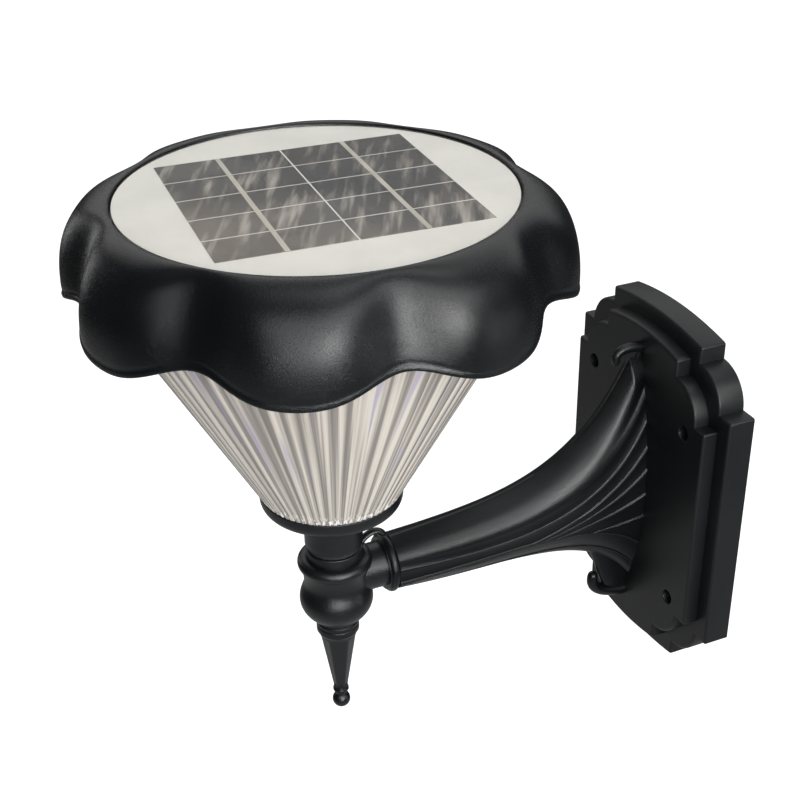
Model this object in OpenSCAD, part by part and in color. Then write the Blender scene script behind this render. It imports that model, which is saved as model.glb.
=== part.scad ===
// Solar wall light: a scalloped cap with a round panel on a fluted cone lens,
// carried by a turned socket and a fluted bracket arm on a stepped wall plate.
// Millimetres. The origin is the centre of the wall plate's back face.
// +Z is up and the lamp stands out towards -Y.

/* [Wall plate] */
// Width of the back tier
plate_w = 123.2; // [114:0.2:140]
// Height of the back tier's straight sides
plate_side_h = 121; // [112:0.5:135]
// Thickness of the back tier
back_tier_t = 12.8; // [10:0.1:18]
// Step of the back tier's shoulders in from its sides
back_shoulder = 8.4; // [6:0.1:11]
// Thickness of the front tier
front_tier_t = 7.1; // [5:0.1:10]
// Width of the front tier
front_w = 106.8; // [102:0.2:111]
// Height of the front tier's straight sides
front_side_h = 104.8; // [98:0.2:110]
// Step of the front tier's shoulders in from its sides
front_shoulder = 7.1; // [5:0.1:9]
// Radius of the quarter-round shoulders
shoulder_r = 17.2; // [14:0.1:20]
// Height of the straight step below the arched top
arch_step = 7.7; // [5:0.1:10]
// Rise of the arched top and bottom
arch_rise = 3.6; // [2:0.1:6]
// Wall of the moulding
plate_wall = 3; // [2:0.1:4]
// Bevel along the edges of both tiers
edge_bevel = 1.1; // [0.5:0.1:1.8]
// Distance across between the wall screw holes
hole_pitch_x = 77; // [70:0.5:84]
// Distance up between the wall screw holes
hole_pitch_z = 91; // [84:0.5:98]
// Diameter of a wall screw hole
hole_d = 7; // [5:0.1:8]
// Thickness of the ribs behind the plate
rib_t = 2; // [1.5:0.1:3]

/* [Bracket arm] */
// Distance from the wall to the lamp's upright axis
reach = 173.5; // [165:0.5:185]
// Height of the arm's front end
arm_z = -10.5; // [-12:0.1:-9]
// Radius of the arm's front ring
ring_r = 13.9; // [13:0.1:15]
// Width of the arm's front ring
ring_w = 5.2; // [4:0.1:6]
// Depth of the hollows between the side ridges
flute_depth = 0.9; // [0.4:0.1:1.3]
// Half width of the arm's foot on the plate
foot_half_w = 13.8; // [12:0.1:15]
// Height at which the arm's spine stops
tip_z = 66; // [63:0.5:68]
// Thickest radius of the scroll bars, at the plate
scroll_r = 3.2; // [2.6:0.1:3.6]
// Radius of the bore for the socket's spigot
spigot_r = 8; // [7:0.1:9]
// Depth of the bore for the socket's spigot
spigot_l = 15; // [12:0.5:18]

/* [Socket and finial] */
// Bore of the socket, in which the lamp head turns
socket_bore_r = 10.5; // [10:0.1:11]
// Radius of the socket's step ring
step_r = 12.7; // [12.3:0.1:13]
// Radius of the rolled rim
roll_r = 3.3; // [2.8:0.1:3.6]
// Radius at the waist
waist_r = 14.3; // [14:0.1:15]
// Radius at the belly
belly_r = 16.7; // [16:0.1:18]
// Radius of the side stub that enters the arm
stub_r = 10.5; // [9.5:0.1:11]
// Radius of the collar at the bottom
collar_r = 9.7; // [9:0.1:10.5]
// Length of the six-sided spike
spike_l = 31; // [25:0.5:38]
// Radius of the ball at the tip
ball_r = 4.2; // [3.5:0.1:5]

/* [Lamp head] */
// Turn of the head from straight ahead, as photographed
head_turn = -3; // [-10:0.5:10]
// Running clearance of the head's spigot in the socket
run_gap = 0.05; // [0.03:0.01:0.08]
// Radius of the cup's rim
cup_r = 31.3; // [30:0.1:33]
// Height of the joint of cup and lens
joint_z = 38; // [36:0.5:40]
// Wall of the cup
cup_wall = 2.5; // [2:0.1:3]
// How far the top of the lens lies inside the cap's lower edge
lens_in = 10.2; // [9:0.05:10.5]
// Number of flutes round the lens
flutes = 72; // [60:4:84]
// Depth of a flute at the foot of the lens
lens_flute = 0.45; // [0.2:0.05:0.6]
// Wall of the lens
lens_wall = 2.4; // [2:0.1:3]

/* [Cap] */
// Number of lobes round the cap
lobes = 8; // [6:1:10]
// Mean radius of the cap's lower edge
cap_r = 98.7; // [97:0.1:102]
// How far lobes and valleys part from the mean radius
lobe_depth = 3.8; // [2:0.1:4.5]
// Mean height of the cap's lower edge
cap_low_z = 137.3; // [135:0.1:139]
// Drop of the lobes and rise of the valleys from that height
lobe_drop = 3.9; // [2:0.1:4.5]
// Height of the cap's lip
cap_top_z = 173.8; // [172:0.1:178]
// Wall of the cap
cap_wall = 2.6; // [2:0.1:3]
// How far the cap's lower edge stands out past the panel
cap_rim = 20.4; // [19:0.1:22]
// Gap round the panel
panel_gap = 0.9; // [0.5:0.1:1.4]

/* [Solar panel] */
// Thickness of the panel's board
board_t = 2; // [1.6:0.1:2.4]
// Thickness of the clear cover over the cells
cover_t = 0.6; // [0.5:0.1:0.9]
// Share of the panel's diameter that the cells take, out from the wall
cells_share_l = 0.676; // [0.6:0.004:0.7]
// Share of the panel's diameter that the cells take, across
cells_share_w = 0.649; // [0.6:0.001:0.69]
// Gap between cells
cell_gap = 0.9; // [0.5:0.1:1.2]
// Thickness of a cell
cell_t = 0.2; // [0.15:0.05:0.25]
// Width of the ribbon that joins the cells
ribbon_w = 2; // [1.5:0.1:3]

/* [Works inside the cap] */
// Thickness of the tray that closes the cap
tray_t = 2.5; // [2:0.1:3]
// Height of the tray's underside
tray_z = 142.4; // [141.8:0.1:143.5]
// Thickness of the lens flange on the tray
flange_t = 2.5; // [2:0.1:3]
// Thickness of the reflector plate over the lens
plate_t = 1.6; // [1.2:0.1:2]
// Radius of the light board
led_board_r = 30; // [25:0.5:34]
// Number of light emitters
leds_n = 12; // [8:1:16]
// Diameter of the battery cell
battery_d = 18.2; // [18:0.1:18.4]
// Length of the battery cell
battery_l = 65; // [64:0.5:68]
// Travel of the switch button
button_travel = 1.6; // [1:0.1:2]
// Radius of the switch button
button_r = 2.6; // [2.2:0.1:2.8]

/* [Fasteners] */
// Clearance between a screw and its hole
hole_gap = 0.1; // [0.05:0.05:0.15]
// Radius of a small screw's thread
small_r = 1.4; // [1.2:0.1:1.5]
// Radius of a small screw's head
small_head_r = 2.7; // [2.4:0.1:2.9]
// Radius of a large screw's thread
large_r = 2; // [1.8:0.1:2.2]
// Radius of a large screw's head
large_head_r = 3.8; // [3.4:0.1:4]

/* [Hidden] */
$fn = 48;
black = [0.07, 0.075, 0.08];
steel = [0.7, 0.7, 0.72];
big = 200;

// Point on a cubic curve from a to d with the handles b and c
function bez(a, b, c, d, t) =
    a * pow(1 - t, 3) + 3 * b * t * pow(1 - t, 2) + 3 * c * t * t * (1 - t) + d * pow(t, 3);

// Points of a cubic curve, its first point left out
function curve(a, b, c, d, n) = [for (i = [1 : n]) bez(a, b, c, d, i / n)];

// Points of an arc about [x, y] from angle a0 to angle a1
function arc(x, y, r, a0, a1, n) =
    [for (i = [0 : n]) let (a = a0 + (a1 - a0) * i / n) [x + r * cos(a), y + r * sin(a)]];

function mirrored(p, sx, sy) = [for (q = p) [q[0] * sx, q[1] * sy]];
function reversed(p) = [for (i = [len(p) - 1 : -1 : 0]) p[i]];

// Faces of a closed stack of rings, each of k points, with flat ends
function stack_faces(rings, k) = concat(
    [for (i = [0 : rings - 2], j = [0 : k - 1])
        each [[i * k + j, (i + 1) * k + (j + 1) % k, i * k + (j + 1) % k],
            [i * k + j, (i + 1) * k + j, (i + 1) * k + (j + 1) % k]]],
    [[for (j = [0 : k - 1]) j]],
    [[for (j = [k - 1 : -1 : 0]) (rings - 1) * k + j]]);

// Slab between an outline at z = 0 and the same outline scaled by s at z = h.
// The outline runs anticlockwise.
module taper(outline, s, h) {
    k = len(outline);
    points = concat([for (f = [0, 1], p = outline)
        [p[0] * (f == 0 ? 1 : s[0]), p[1] * (f == 0 ? 1 : s[1]), f * h]], [[0, 0, 0], [0, 0, h]]);
    faces = [for (j = [0 : k - 1]) let (n = (j + 1) % k)
        each [[j, k + j, k + n], [j, k + n, n], [2 * k, j, n], [2 * k + 1, k + n, k + j]]];
    polyhedron(points, faces, convexity = 6);
}

// Bar of oval section along a path of [y, z] points in the plane x = 0
module planar_bar(path, radii, width = 1, sides = 12) {
    n = len(path);
    points = [for (i = [0 : n - 1], j = [0 : sides - 1])
        let (d = path[min(i + 1, n - 1)] - path[max(i - 1, 0)], l = norm(d),
            a = 360 * j / sides, u = radii[i] * cos(a), w = radii[i] * width * sin(a))
        [w, path[i][0] - u * d[1] / l, path[i][1] + u * d[0] / l]];
    polyhedron(points, stack_faces(n, sides), convexity = 6);
}

// Points past the end of a path, and radii there, for a ball of radius r
function ball_points(path, r, n) =
    let (e = path[len(path) - 1], d = e - path[len(path) - 2])
    [for (i = [1 : n]) e + d * (r * sin(84 * i / n) / norm(d))];
function ball_radii(r, n) = [for (i = [1 : n]) r * cos(84 * i / n)];

// Cylinder along Y from y0 to y1, at x and z
module along_y(r, y0, y1, x = 0, z = 0) {
    translate([x, y1, z]) rotate([90, 0, 0]) cylinder(r = r, h = y1 - y0);
}

// Pan-head screw, its head's seat at z = 0 and its thread upwards
module screw(r, head_r, head_h, length) {
    difference() {
        union() {
            cylinder(r = r, h = length, $fn = 24);
            translate([0, 0, -head_h]) cylinder(r = head_r, h = head_h, $fn = 24);
        }
        for (a = [0, 90])
            rotate([0, 0, a]) translate([-head_r * 0.6, -0.35, -head_h - 1])
                cube([head_r * 1.2, 0.7, 1 + head_h * 0.5]);
    }
}

// Places what follows on the lamp's axis, turned with the head
module on_head() {
    translate([0, -reach, 0]) rotate([0, 0, head_turn]) children();
}

// Places copies at the middles of the given lobes
module at_lobes(list, r) {
    for (i = list) rotate([0, 0, lobe_a * (i + 0.5)]) translate([r, 0, 0]) children();
}

// Wall plate

plate_front_t = back_tier_t + front_tier_t;
back_half_h = plate_side_h / 2 + shoulder_r + arch_step;
front_half_h = front_side_h / 2 + shoulder_r + arch_step + 0.3;
screw_z = [-28, 6, 38];
arm_screw_l = 16;

// Upper right quarter of a tier's outline, from its side corner to its apex
function tier_quarter(w, side, shoulder, top) =
    let (a = w / 2, h = side / 2, b = a - shoulder - shoulder_r)
    concat([[a, h]], arc(b, h, shoulder_r, 0, 90, 10),
        [for (i = [0 : 7]) [b * (1 - i / 8), top + arch_rise * (1 - pow(1 - i / 8, 2))]]);

// Whole outline of a tier
function tier(w, side, shoulder, top) =
    let (q = tier_quarter(w, side, shoulder, top), apex = [[0, top + arch_rise]],
        foot = [[0, -top - arch_rise]])
    concat(q, apex, reversed(mirrored(q, -1, 1)), mirrored(q, -1, -1), foot,
        reversed(mirrored(q, 1, -1)));

function back_tier(inset) =
    tier(plate_w - 2 * inset, plate_side_h - 2 * inset, back_shoulder, back_half_h - inset);
function front_tier(inset) =
    tier(front_w - 2 * inset, front_side_h - 2 * inset, front_shoulder, front_half_h - inset);

// Slab of a tier with bevelled front edges, standing on z = 0
module tier_slab(outline, half_w, half_h, t) {
    linear_extrude(t - edge_bevel) polygon(outline);
    translate([0, 0, t - edge_bevel])
        taper(outline, [1 - edge_bevel / half_w, 1 - edge_bevel / half_h], edge_bevel);
}

module at_wall_holes() {
    for (x = [-1, 1], z = [-1, 1])
        translate([x * hole_pitch_x / 2, z * hole_pitch_z / 2, 0]) children();
}

module wall_plate() {
    boss_r = hole_d / 2 + plate_wall;
    pocket_t = plate_front_t - plate_wall;
    color(black) rotate([90, 0, 0]) difference() {
        union() {
            difference() {
                union() {
                    tier_slab(back_tier(0), plate_w / 2, back_half_h, back_tier_t);
                    translate([0, 0, back_tier_t - 2])
                        tier_slab(front_tier(0), front_w / 2, front_half_h, front_tier_t + 2);
                }
                translate([0, 0, -1])
                    linear_extrude(back_tier_t - plate_wall + 1) polygon(back_tier(plate_wall));
                translate([0, 0, -1])
                    linear_extrude(pocket_t + 1) polygon(front_tier(plate_wall));
            }
            at_wall_holes() cylinder(r = boss_r, h = pocket_t + 1);
            for (x = [-1, 1])
                translate([x * hole_pitch_x / 4 - rib_t / 2, -front_half_h + plate_wall / 2, 1.5])
                    cube([rib_t, 2 * front_half_h - plate_wall, pocket_t]);
            for (z = [-1, 1])
                translate([-front_w / 2 + plate_wall / 2, z * hole_pitch_z / 2 - rib_t / 2, 1.5])
                    cube([front_w - plate_wall, rib_t, pocket_t]);
        }
        at_wall_holes() translate([0, 0, -1]) cylinder(r = hole_d / 2, h = plate_front_t + 2);
        for (z = screw_z) translate([0, z, -1]) cylinder(r = large_r + hole_gap, h = big);
    }
}

// Bracket arm

arm_y0 = -reach + 26.5;
arm_y1 = -plate_front_t;
ring_y = -reach + 22;
arm_steps = 26;

// Half width of the foot at a height on the plate
function foot_w(z) = foot_half_w * (1 - pow((z + 3) / (z > -3 ? 75 : 62), 2));

// The arm's lengthwise lines, from the spine down to the keel. Each has its half
// width at the ring and the heights of its curve's start, two handles and end.
arm_lines = [
    [2.2, 2.7, 7.6, 3.1, 80.7],
    [6.6, 1.5, 4.2, -3.5, 66],
    [10.7, -2, -3, -12.4, 50.1],
    [12.4, -8.6, -11, -15.6, 36],
    [12.8, -15.4, -18.4, -16, 23],
    [12.7, -16, -18, -17, 11.4],
    [12.6, -16, -19, -18, -1.7],
    [12.5, -16, -20, -18, -14.5],
    [12.2, -17, -17.2, -7, -31],
    [7.8, -20.4, -26, -14, -46],
    [2.8, -22, -29.5, -19, -54]];
ridge_first = 3;
ridge_last = 8;

function arm_y(t) = let (l = arm_y1 - arm_y0)
    bez(arm_y0, arm_y0 + 0.473 * l, arm_y1 - 0.204 * l, arm_y1, t);
function line_z(k, t) = bez(arm_lines[k][1], arm_lines[k][2], arm_lines[k][3], arm_lines[k][4], t);

// Height of line k, kept above the lower edge that the ridges leave one by one
function arm_line_z(k, t) =
    k > ridge_first && k < ridge_last
        ? max(line_z(k, t), line_z(ridge_last, t) + (ridge_last - k) * 0.45)
        : min(line_z(k, t), tip_z - 0.6 * k);
function arm_line_x(k, t) =
    let (u = (arm_y(t) - arm_y0) / (arm_y1 - arm_y0),
        end = k == 0 ? 1.3 : foot_w(min(arm_lines[k][4], tip_z - 0.6 * k)))
    arm_lines[k][0] + (end - arm_lines[k][0]) * u * u;
function arm_point(k, t) = [arm_line_x(k, t), arm_line_z(k, t)];

// Hollow between line k and the next one
function arm_hollow(k, t) =
    let (a = arm_point(k, t), b = arm_point(k + 1, t), d = flute_depth * min(1, norm(a - b) / 5))
    (a + b) / 2 - [d, 0];

// Right half of the section at t, from the spine to the keel
function arm_half(t) = [for (k = [0 : len(arm_lines) - 1])
    each k >= ridge_first - 1 && k < ridge_last
        ? [arm_point(k, t), arm_hollow(k, t)] : [arm_point(k, t)]];
function arm_section(t) = let (h = arm_half(t)) concat(h, reversed(mirrored(h, -1, 1)));

// The section at the plate is carried on past it, for the flush cut of the foot
module arm_body() {
    sections = [for (i = [0 : arm_steps + 1]) arm_section(min(1, i / arm_steps))];
    k = len(sections[0]);
    points = [for (i = [0 : arm_steps + 1])
        let (y = i > arm_steps ? arm_y1 + 3 : arm_y(i / arm_steps))
        for (p = sections[i]) [p[0], y, p[1]]];
    polyhedron(points, stack_faces(arm_steps + 2, k), convexity = 8);
}

// Scroll over the spine: leaves the plate, arches forward and curls down
module top_scroll() {
    y = arm_y1;
    end_r = scroll_r * 0.64;
    path = concat([[y + 1, 71.4]],
        curve([y, 71.4], [y - 7, 72.6], [y - 13.5, 72.2], [y - 12.8, 66.6], 12));
    planar_bar(concat(path, ball_points(path, end_r, 4)),
        concat([for (i = [0 : 12]) scroll_r * 0.8 - (scroll_r * 0.8 - end_r) * i / 12],
            ball_radii(end_r, 4)));
    rotate([90, 0, 90]) translate([0, 0, -1.4]) linear_extrude(2.8)
        polygon([[y + 2, 60], [y + 2, 72], [y - 2.6, 72], [y - 2.2, 69], [y - 3.2, 66]]);
}

// Web and scroll under the arm: a hook that ends in an upturned curl
module bottom_scroll() {
    y = arm_y1;
    end_r = scroll_r * 0.82;
    path = concat([[y + 1, -66.3]],
        curve([y, -66.3], [y - 8, -66], [y - 19.5, -63], [y - 17.6, -54], 14));
    planar_bar(concat(path, ball_points(path, end_r, 4)),
        concat([for (i = [0 : 14]) scroll_r * 1.08 - (scroll_r * 1.08 - end_r) * i / 14],
            ball_radii(end_r, 4)));
    rotate([90, 0, 90]) translate([0, 0, -2]) linear_extrude(4)
        polygon(concat([[y + 2, -30], [y - 26, -30]],
            curve([y - 23.5, -34], [y - 17, -42], [y - 17.5, -49], [y - 12, -60], 8),
            [[y + 2, -66]]));
}

module bracket_arm() {
    color(black) difference() {
        union() {
            arm_body();
            top_scroll();
            bottom_scroll();
            along_y(ring_r - 2.2, ring_y, arm_y0 + 6, 0, arm_z);
            translate([0, ring_y + ring_w, arm_z]) rotate([90, 0, 0])
                rotate_extrude() polygon(concat([[0, 0], [ring_r - 1.6, 0]],
                    arc(ring_r - ring_w * 0.42, ring_w / 2, ring_w * 0.42, -70, 70, 8),
                    [[ring_r - 1.6, ring_w], [0, ring_w]]));
        }
        translate([-big / 2, arm_y1, -big / 2]) cube(big);
        along_y(spigot_r + hole_gap, ring_y - 1, ring_y + spigot_l, 0, arm_z);
        along_y(stub_r + 2 * hole_gap, ring_y - 1, ring_y + 2, 0, arm_z);
        for (z = screw_z) along_y(large_r + hole_gap, arm_y1 - arm_screw_l, arm_y1 + 1, 0, z);
        translate([0, stub_screw_y, arm_z - 40])
            cylinder(r = small_r + hole_gap, h = 40, $fn = 24);
        translate([0, stub_screw_y, arm_z - 40])
            cylinder(r = small_head_r + 0.4, h = 40 - spigot_r - 2.6, $fn = 32);
    }
}

module arm_screws() {
    color(steel) for (z = screw_z)
        translate([0, -plate_front_t + plate_wall, z]) rotate([90, 0, 0])
            screw(large_r, large_head_r, 2.6, plate_wall + arm_screw_l - 1);
}

// Socket, a turned urn with a side stub

stub_screw_y = ring_y + 9;
step_top_z = 6.3;
roll_z = -1.5;
roll_mid_r = step_r + 0.8;
urn_low_z = -36.6;
shelf_z = -8;
shelf_t = 4;
plug_r = 6.4;

urn_profile = concat(
    [[0, step_top_z], [step_r, step_top_z]],
    arc(roll_mid_r, roll_z, roll_r, 104, -48, 12),
    curve([roll_mid_r + roll_r * 0.67, roll_z - roll_r * 0.74], [waist_r + 0.4, -6.5],
        [waist_r, -8.5], [waist_r, -11], 5),
    curve([waist_r, -11], [waist_r, -15], [belly_r, -17], [belly_r, -21.5], 7),
    curve([belly_r, -21.5], [belly_r, -27], [12.4, -30.4], [collar_r, -33.2], 8),
    [[collar_r - 0.6, -33.8], [collar_r - 0.6, -34.4], [collar_r, -34.9],
        [collar_r, urn_low_z + 0.3], [collar_r - 0.3, urn_low_z], [0, urn_low_z]]);

module socket() {
    color(black) translate([0, -reach, 0]) {
        difference() {
            union() {
                rotate_extrude() polygon(urn_profile);
                along_y(stub_r, 0, reach + ring_y + 1.9, 0, arm_z);
                along_y(spigot_r, 0, reach + ring_y + spigot_l - 0.5, 0, arm_z);
                socket_leaf();
            }
            translate([0, 0, shelf_z + shelf_t]) cylinder(r = socket_bore_r, h = 40);
            translate([0, 0, shelf_z - 1]) cylinder(r = large_r + 0.3, h = 20);
            translate([0, 0, shelf_z - 40]) cylinder(r = plug_r + hole_gap, h = 40);
            translate([0, reach + stub_screw_y, arm_z - 20])
                cylinder(r = small_r + hole_gap, h = 20 + 4, $fn = 24);
        }
    }
}

// Small leaf that bridges from the step ring towards the arm's ring
module socket_leaf() {
    y0 = step_r - 0.6;
    y1 = reach + ring_y + 1.2;
    path = concat([[y0, 3.6]], curve([y0, 3.6], [y0 + 3.5, 8.2], [y1 - 2.5, 9.4], [y1, 5.9], 10));
    planar_bar(path, [for (i = [0 : 10]) 1.5 - 0.2 * sin(18 * i)], 1.5);
}

module stub_screw() {
    color(steel) translate([0, stub_screw_y, arm_z - spigot_r - 2.6])
        screw(small_r, small_head_r, 1.8, spigot_r + 6);
}

// Finial: threaded plug, collar, six-sided spike and ball

finial_z = urn_low_z;
spike_z = finial_z - 6.2;
spike_low_z = spike_z - spike_l;
ball_z = spike_low_z - 9;

module finial() {
    color(black) translate([0, -reach, 0]) {
        translate([0, 0, finial_z]) cylinder(r = plug_r, h = 8);
        rotate_extrude() polygon([[0, finial_z], [collar_r - 0.5, finial_z],
            [collar_r + 0.1, finial_z - 0.7], [collar_r + 0.1, finial_z - 3],
            [collar_r - 0.8, finial_z - 3.8], [8.4, spike_z], [0, spike_z]]);
        rotate([0, 0, 11]) translate([0, 0, spike_low_z])
            cylinder(r1 = 3.4, r2 = 8.6, h = spike_l + 0.5, $fn = 6);
        rotate_extrude() polygon(concat([[0, spike_low_z + 0.5], [3.3, spike_low_z + 0.5],
            [3.3, spike_low_z - 1.6], [3.7, spike_low_z - 2.1], [3.7, spike_low_z - 3],
            [2.7, spike_low_z - 3.8]], arc(0, ball_z, ball_r, 52, -90, 14)));
    }
}

// Neck cup: the head's spigot, neck and flared cup under the lens

neck_low_z = 8.7;
core_z = 12;
neck_top_z = joint_z - 17.8;
spigot_low_z = shelf_z + shelf_t + 0.4;
lens_floor_z = joint_z - 4.5;
lens_spigot_r = cup_r - 3.2;
cup_screw_r = cup_r - 15.3;
cup_screw_depth = 4.2;
cup_boss_r = 3.2;
cup_boss_h = cup_screw_depth + 0.8;
flare_out = curve([13, neck_top_z], [15.2, neck_top_z + 14.2], [cup_r + 0.4, joint_z - 12.7],
    [cup_r, joint_z - 2], 14);
flare_in = concat([[13 - cup_wall, neck_top_z + 3]],
    curve([13 - cup_wall, neck_top_z + 3], [14 - cup_wall, neck_top_z + 10.3],
        [cup_r - cup_wall - 6.8, joint_z - 7.2], [cup_r - cup_wall - 2.8, lens_floor_z], 10));

// Places copies at the screws that hold the lens to the cup
module at_cup_screws() {
    for (i = [0 : 2]) rotate([0, 0, 120 * i]) translate([cup_screw_r, 0, 0]) children();
}

module neck_cup() {
    color(black) on_head() difference() {
        union() {
            rotate_extrude() polygon(concat(
                [[0, spigot_low_z], [socket_bore_r - run_gap - 0.4, spigot_low_z],
                    [socket_bore_r - run_gap, spigot_low_z + 0.4], [socket_bore_r - run_gap, neck_low_z],
                    [12.6, neck_low_z], [13, neck_low_z + 0.5], [13, neck_top_z]],
                flare_out,
                [[cup_r, joint_z - 0.3], [cup_r - 0.3, joint_z], [lens_spigot_r + hole_gap, joint_z],
                    [lens_spigot_r + hole_gap, lens_floor_z]],
                reversed(flare_in), [[13 - cup_wall, core_z], [0, core_z]]));
            at_cup_screws() translate([0, 0, lens_floor_z - cup_boss_h])
                cylinder(r = cup_boss_r, h = cup_boss_h);
        }
        translate([0, 0, spigot_low_z - 1]) cylinder(r = large_r + hole_gap, h = 14, $fn = 24);
        at_cup_screws() translate([0, 0, lens_floor_z - cup_screw_depth - 0.2])
            cylinder(r = small_r + hole_gap, h = 10, $fn = 24);
    }
}

module neck_seal() {
    color([0.03, 0.03, 0.03]) on_head() difference() {
        translate([0, 0, step_top_z + 0.3])
            cylinder(r = step_r - 0.7, h = neck_low_z - step_top_z - 0.3);
        cylinder(r = socket_bore_r - run_gap + hole_gap, h = 20);
    }
}

washer_t = 1;

module neck_washer() {
    color(steel) on_head() translate([0, 0, shelf_z - washer_t - 0.3]) difference() {
        cylinder(r = plug_r - 0.7, h = washer_t);
        translate([0, 0, -1]) cylinder(r = large_r + hole_gap, h = 4, $fn = 24);
    }
}

module neck_screw() {
    color(steel) on_head() translate([0, 0, shelf_z - washer_t - 0.3])
        screw(large_r, large_head_r, 2.6, spigot_low_z - shelf_z + washer_t + 10);
}

// Lens: a fluted cone with a foot in the cup and a flange on the tray

flange_z = tray_z + tray_t;
lens_foot_t = 1.8;
lens_floor_t = 2.2;
lens_slope = (cap_r - lens_in - cup_r + 0.3) / (flange_z - joint_z);
function lens_r(z) = cup_r - 0.3 + lens_slope * (z - joint_z);

module lens_cone() {
    h = flange_z - joint_z;
    s = lens_r(flange_z) / lens_r(joint_z);
    outline = [for (i = [0 : 4 * flutes - 1]) let (a = 90 * i / flutes,
        r = lens_r(joint_z) - lens_flute * [1, 0.25, 0, 0.25][i % 4]) [r * cos(a), r * sin(a)]];
    translate([0, 0, joint_z]) taper(outline, [s, s], h);
}

module lens() {
    $fn = 144;
    color([0.85, 0.84, 0.82, 0.5]) on_head() difference() {
        union() {
            lens_cone();
            translate([0, 0, lens_floor_z])
                cylinder(r = lens_spigot_r, h = joint_z - lens_floor_z + 0.5);
            translate([0, 0, flange_z]) cylinder(r = flange_r, h = flange_t);
        }
        translate([0, 0, joint_z + lens_foot_t])
            cylinder(r1 = lens_r(joint_z + lens_foot_t) - lens_wall,
                r2 = lens_r(joint_z + big) - lens_wall, h = big - lens_foot_t);
        translate([0, 0, lens_floor_z + lens_floor_t]) cylinder(r = lens_spigot_r - 2, h = 8);
        at_cup_screws() translate([0, 0, lens_floor_z - 1])
            cylinder(r = small_r + hole_gap, h = 10, $fn = 24);
    }
}

module cup_screws() {
    color(steel) on_head() at_cup_screws()
        translate([0, 0, lens_floor_z + lens_floor_t]) rotate([180, 0, 0])
            screw(small_r, small_head_r, 1.8, lens_floor_t + cup_screw_depth);
}

// Cap: a scalloped shell. Its lobes are domed and broad, and the valleys between them narrow
// and almost straight from the lip down to the edge.

lobe_a = 360 / lobes;
panel_r = cap_r - cap_rim;
lip_r = panel_r + panel_gap;
cap_around = 14 * lobes;

// +1 in a valley and -1 at the middle of a lobe, broader round the lobes
function lobe_wave(a, k) = let (c = cos(lobes * a)) c - k * (1 - c * c);
function cap_edge_z(a) = cap_low_z + lobe_drop * lobe_wave(a, 0.17);

// Outer radius at angle a, at share v of the way down the skirt: it goes from the valley's
// profile to the lobe's as the wave goes from 1 to -1
function skirt_r(a, v) =
    let (valley = (cap_r - lobe_depth - lip_r) * (1 - pow(1 - v, 1.5)),
        lobe = (cap_r + lobe_depth - lip_r) * pow(1 - pow(1 - v, 2.6), 0.5))
    lip_r + valley + (lobe - valley) * (1 - lobe_wave(a, 0.5)) / 2;
function skirt_z(a, v, low) = cap_top_z + (low - cap_top_z) * v;

// Outer radius of the cap at angle a and height z
function cap_out_r(a, z) =
    skirt_r(a, min(1, (cap_top_z - z) / (cap_top_z - cap_edge_z(a))));

// Rings of the shell from the lip's inner edge, down outside and up inside
function cap_ring(i, a) =
    let (edge = cap_edge_z(a), rows = 12)
    i == 0 ? [lip_r, cap_top_z - 0.9]
    : i == 1 ? [lip_r + 0.8, cap_top_z - 0.1]
    : i <= rows ? let (v = 0.012 + 0.968 * pow((i - 2) / (rows - 2), 1.5))
        [skirt_r(a, v) + 0.8 * (1 - v), skirt_z(a, v, edge)]
    : i == rows + 1 ? [skirt_r(a, 1) - 0.35, edge]
    : i == rows + 2 ? [skirt_r(a, 1) - cap_wall + 0.35, edge]
    : let (v = [0.97, 0.72, 0.45, 0.28, 0.17][i - rows - 3])
        [max(lip_r - 1, skirt_r(a, v) - cap_wall), skirt_z(a, v, edge)];

module cap() {
    rings = 20;
    points = [for (i = [0 : rings - 1], j = [0 : cap_around - 1])
        let (a = 360 * j / cap_around, p = cap_ring(i, a)) [p[0] * cos(a), p[0] * sin(a), p[1]]];
    faces = [for (i = [0 : rings - 1], j = [0 : cap_around - 1])
        let (m = (i + 1) % rings, n = (j + 1) % cap_around)
        each [[i * cap_around + j, i * cap_around + n, m * cap_around + n],
            [i * cap_around + j, m * cap_around + n, m * cap_around + j]]];
    color(black) on_head() {
        polyhedron(points, faces, convexity = 8);
        difference() {
            union() {
                translate([0, 0, ledge_z - ledge_t]) cylinder(r = lip_r + 7.5, h = ledge_t);
                translate([0, 0, ledge_z - 1]) cylinder(r = lip_r + 3, h = cap_top_z - ledge_z - 0.2);
                at_lobes(screw_lobes, boss_at) {
                    translate([0, 0, flange_z]) cylinder(r = boss_r, h = cap_boss_h);
                    translate([0, -1.2, flange_z + 3]) cube([boss_r + 1, 2.4, cap_boss_h - 3]);
                }
                at_lobes(plate_screw_at, plate_screw_r) translate([0, 0, plate_top_z])
                    cylinder(r = 3.2, h = ledge_z - 1 - plate_top_z);
            }
            cylinder(r = ledge_in_r, h = big);
            translate([0, 0, ledge_z]) cylinder(r = lip_r, h = big);
            at_lobes(screw_lobes, boss_at) cylinder(r = small_r + hole_gap, h = flange_z + 9, $fn = 24);
            at_lobes(plate_screw_at, plate_screw_r)
                cylinder(r = small_r + hole_gap, h = plate_top_z + 8, $fn = 24);
        }
    }
}

// Levels and places inside the cap

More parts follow.
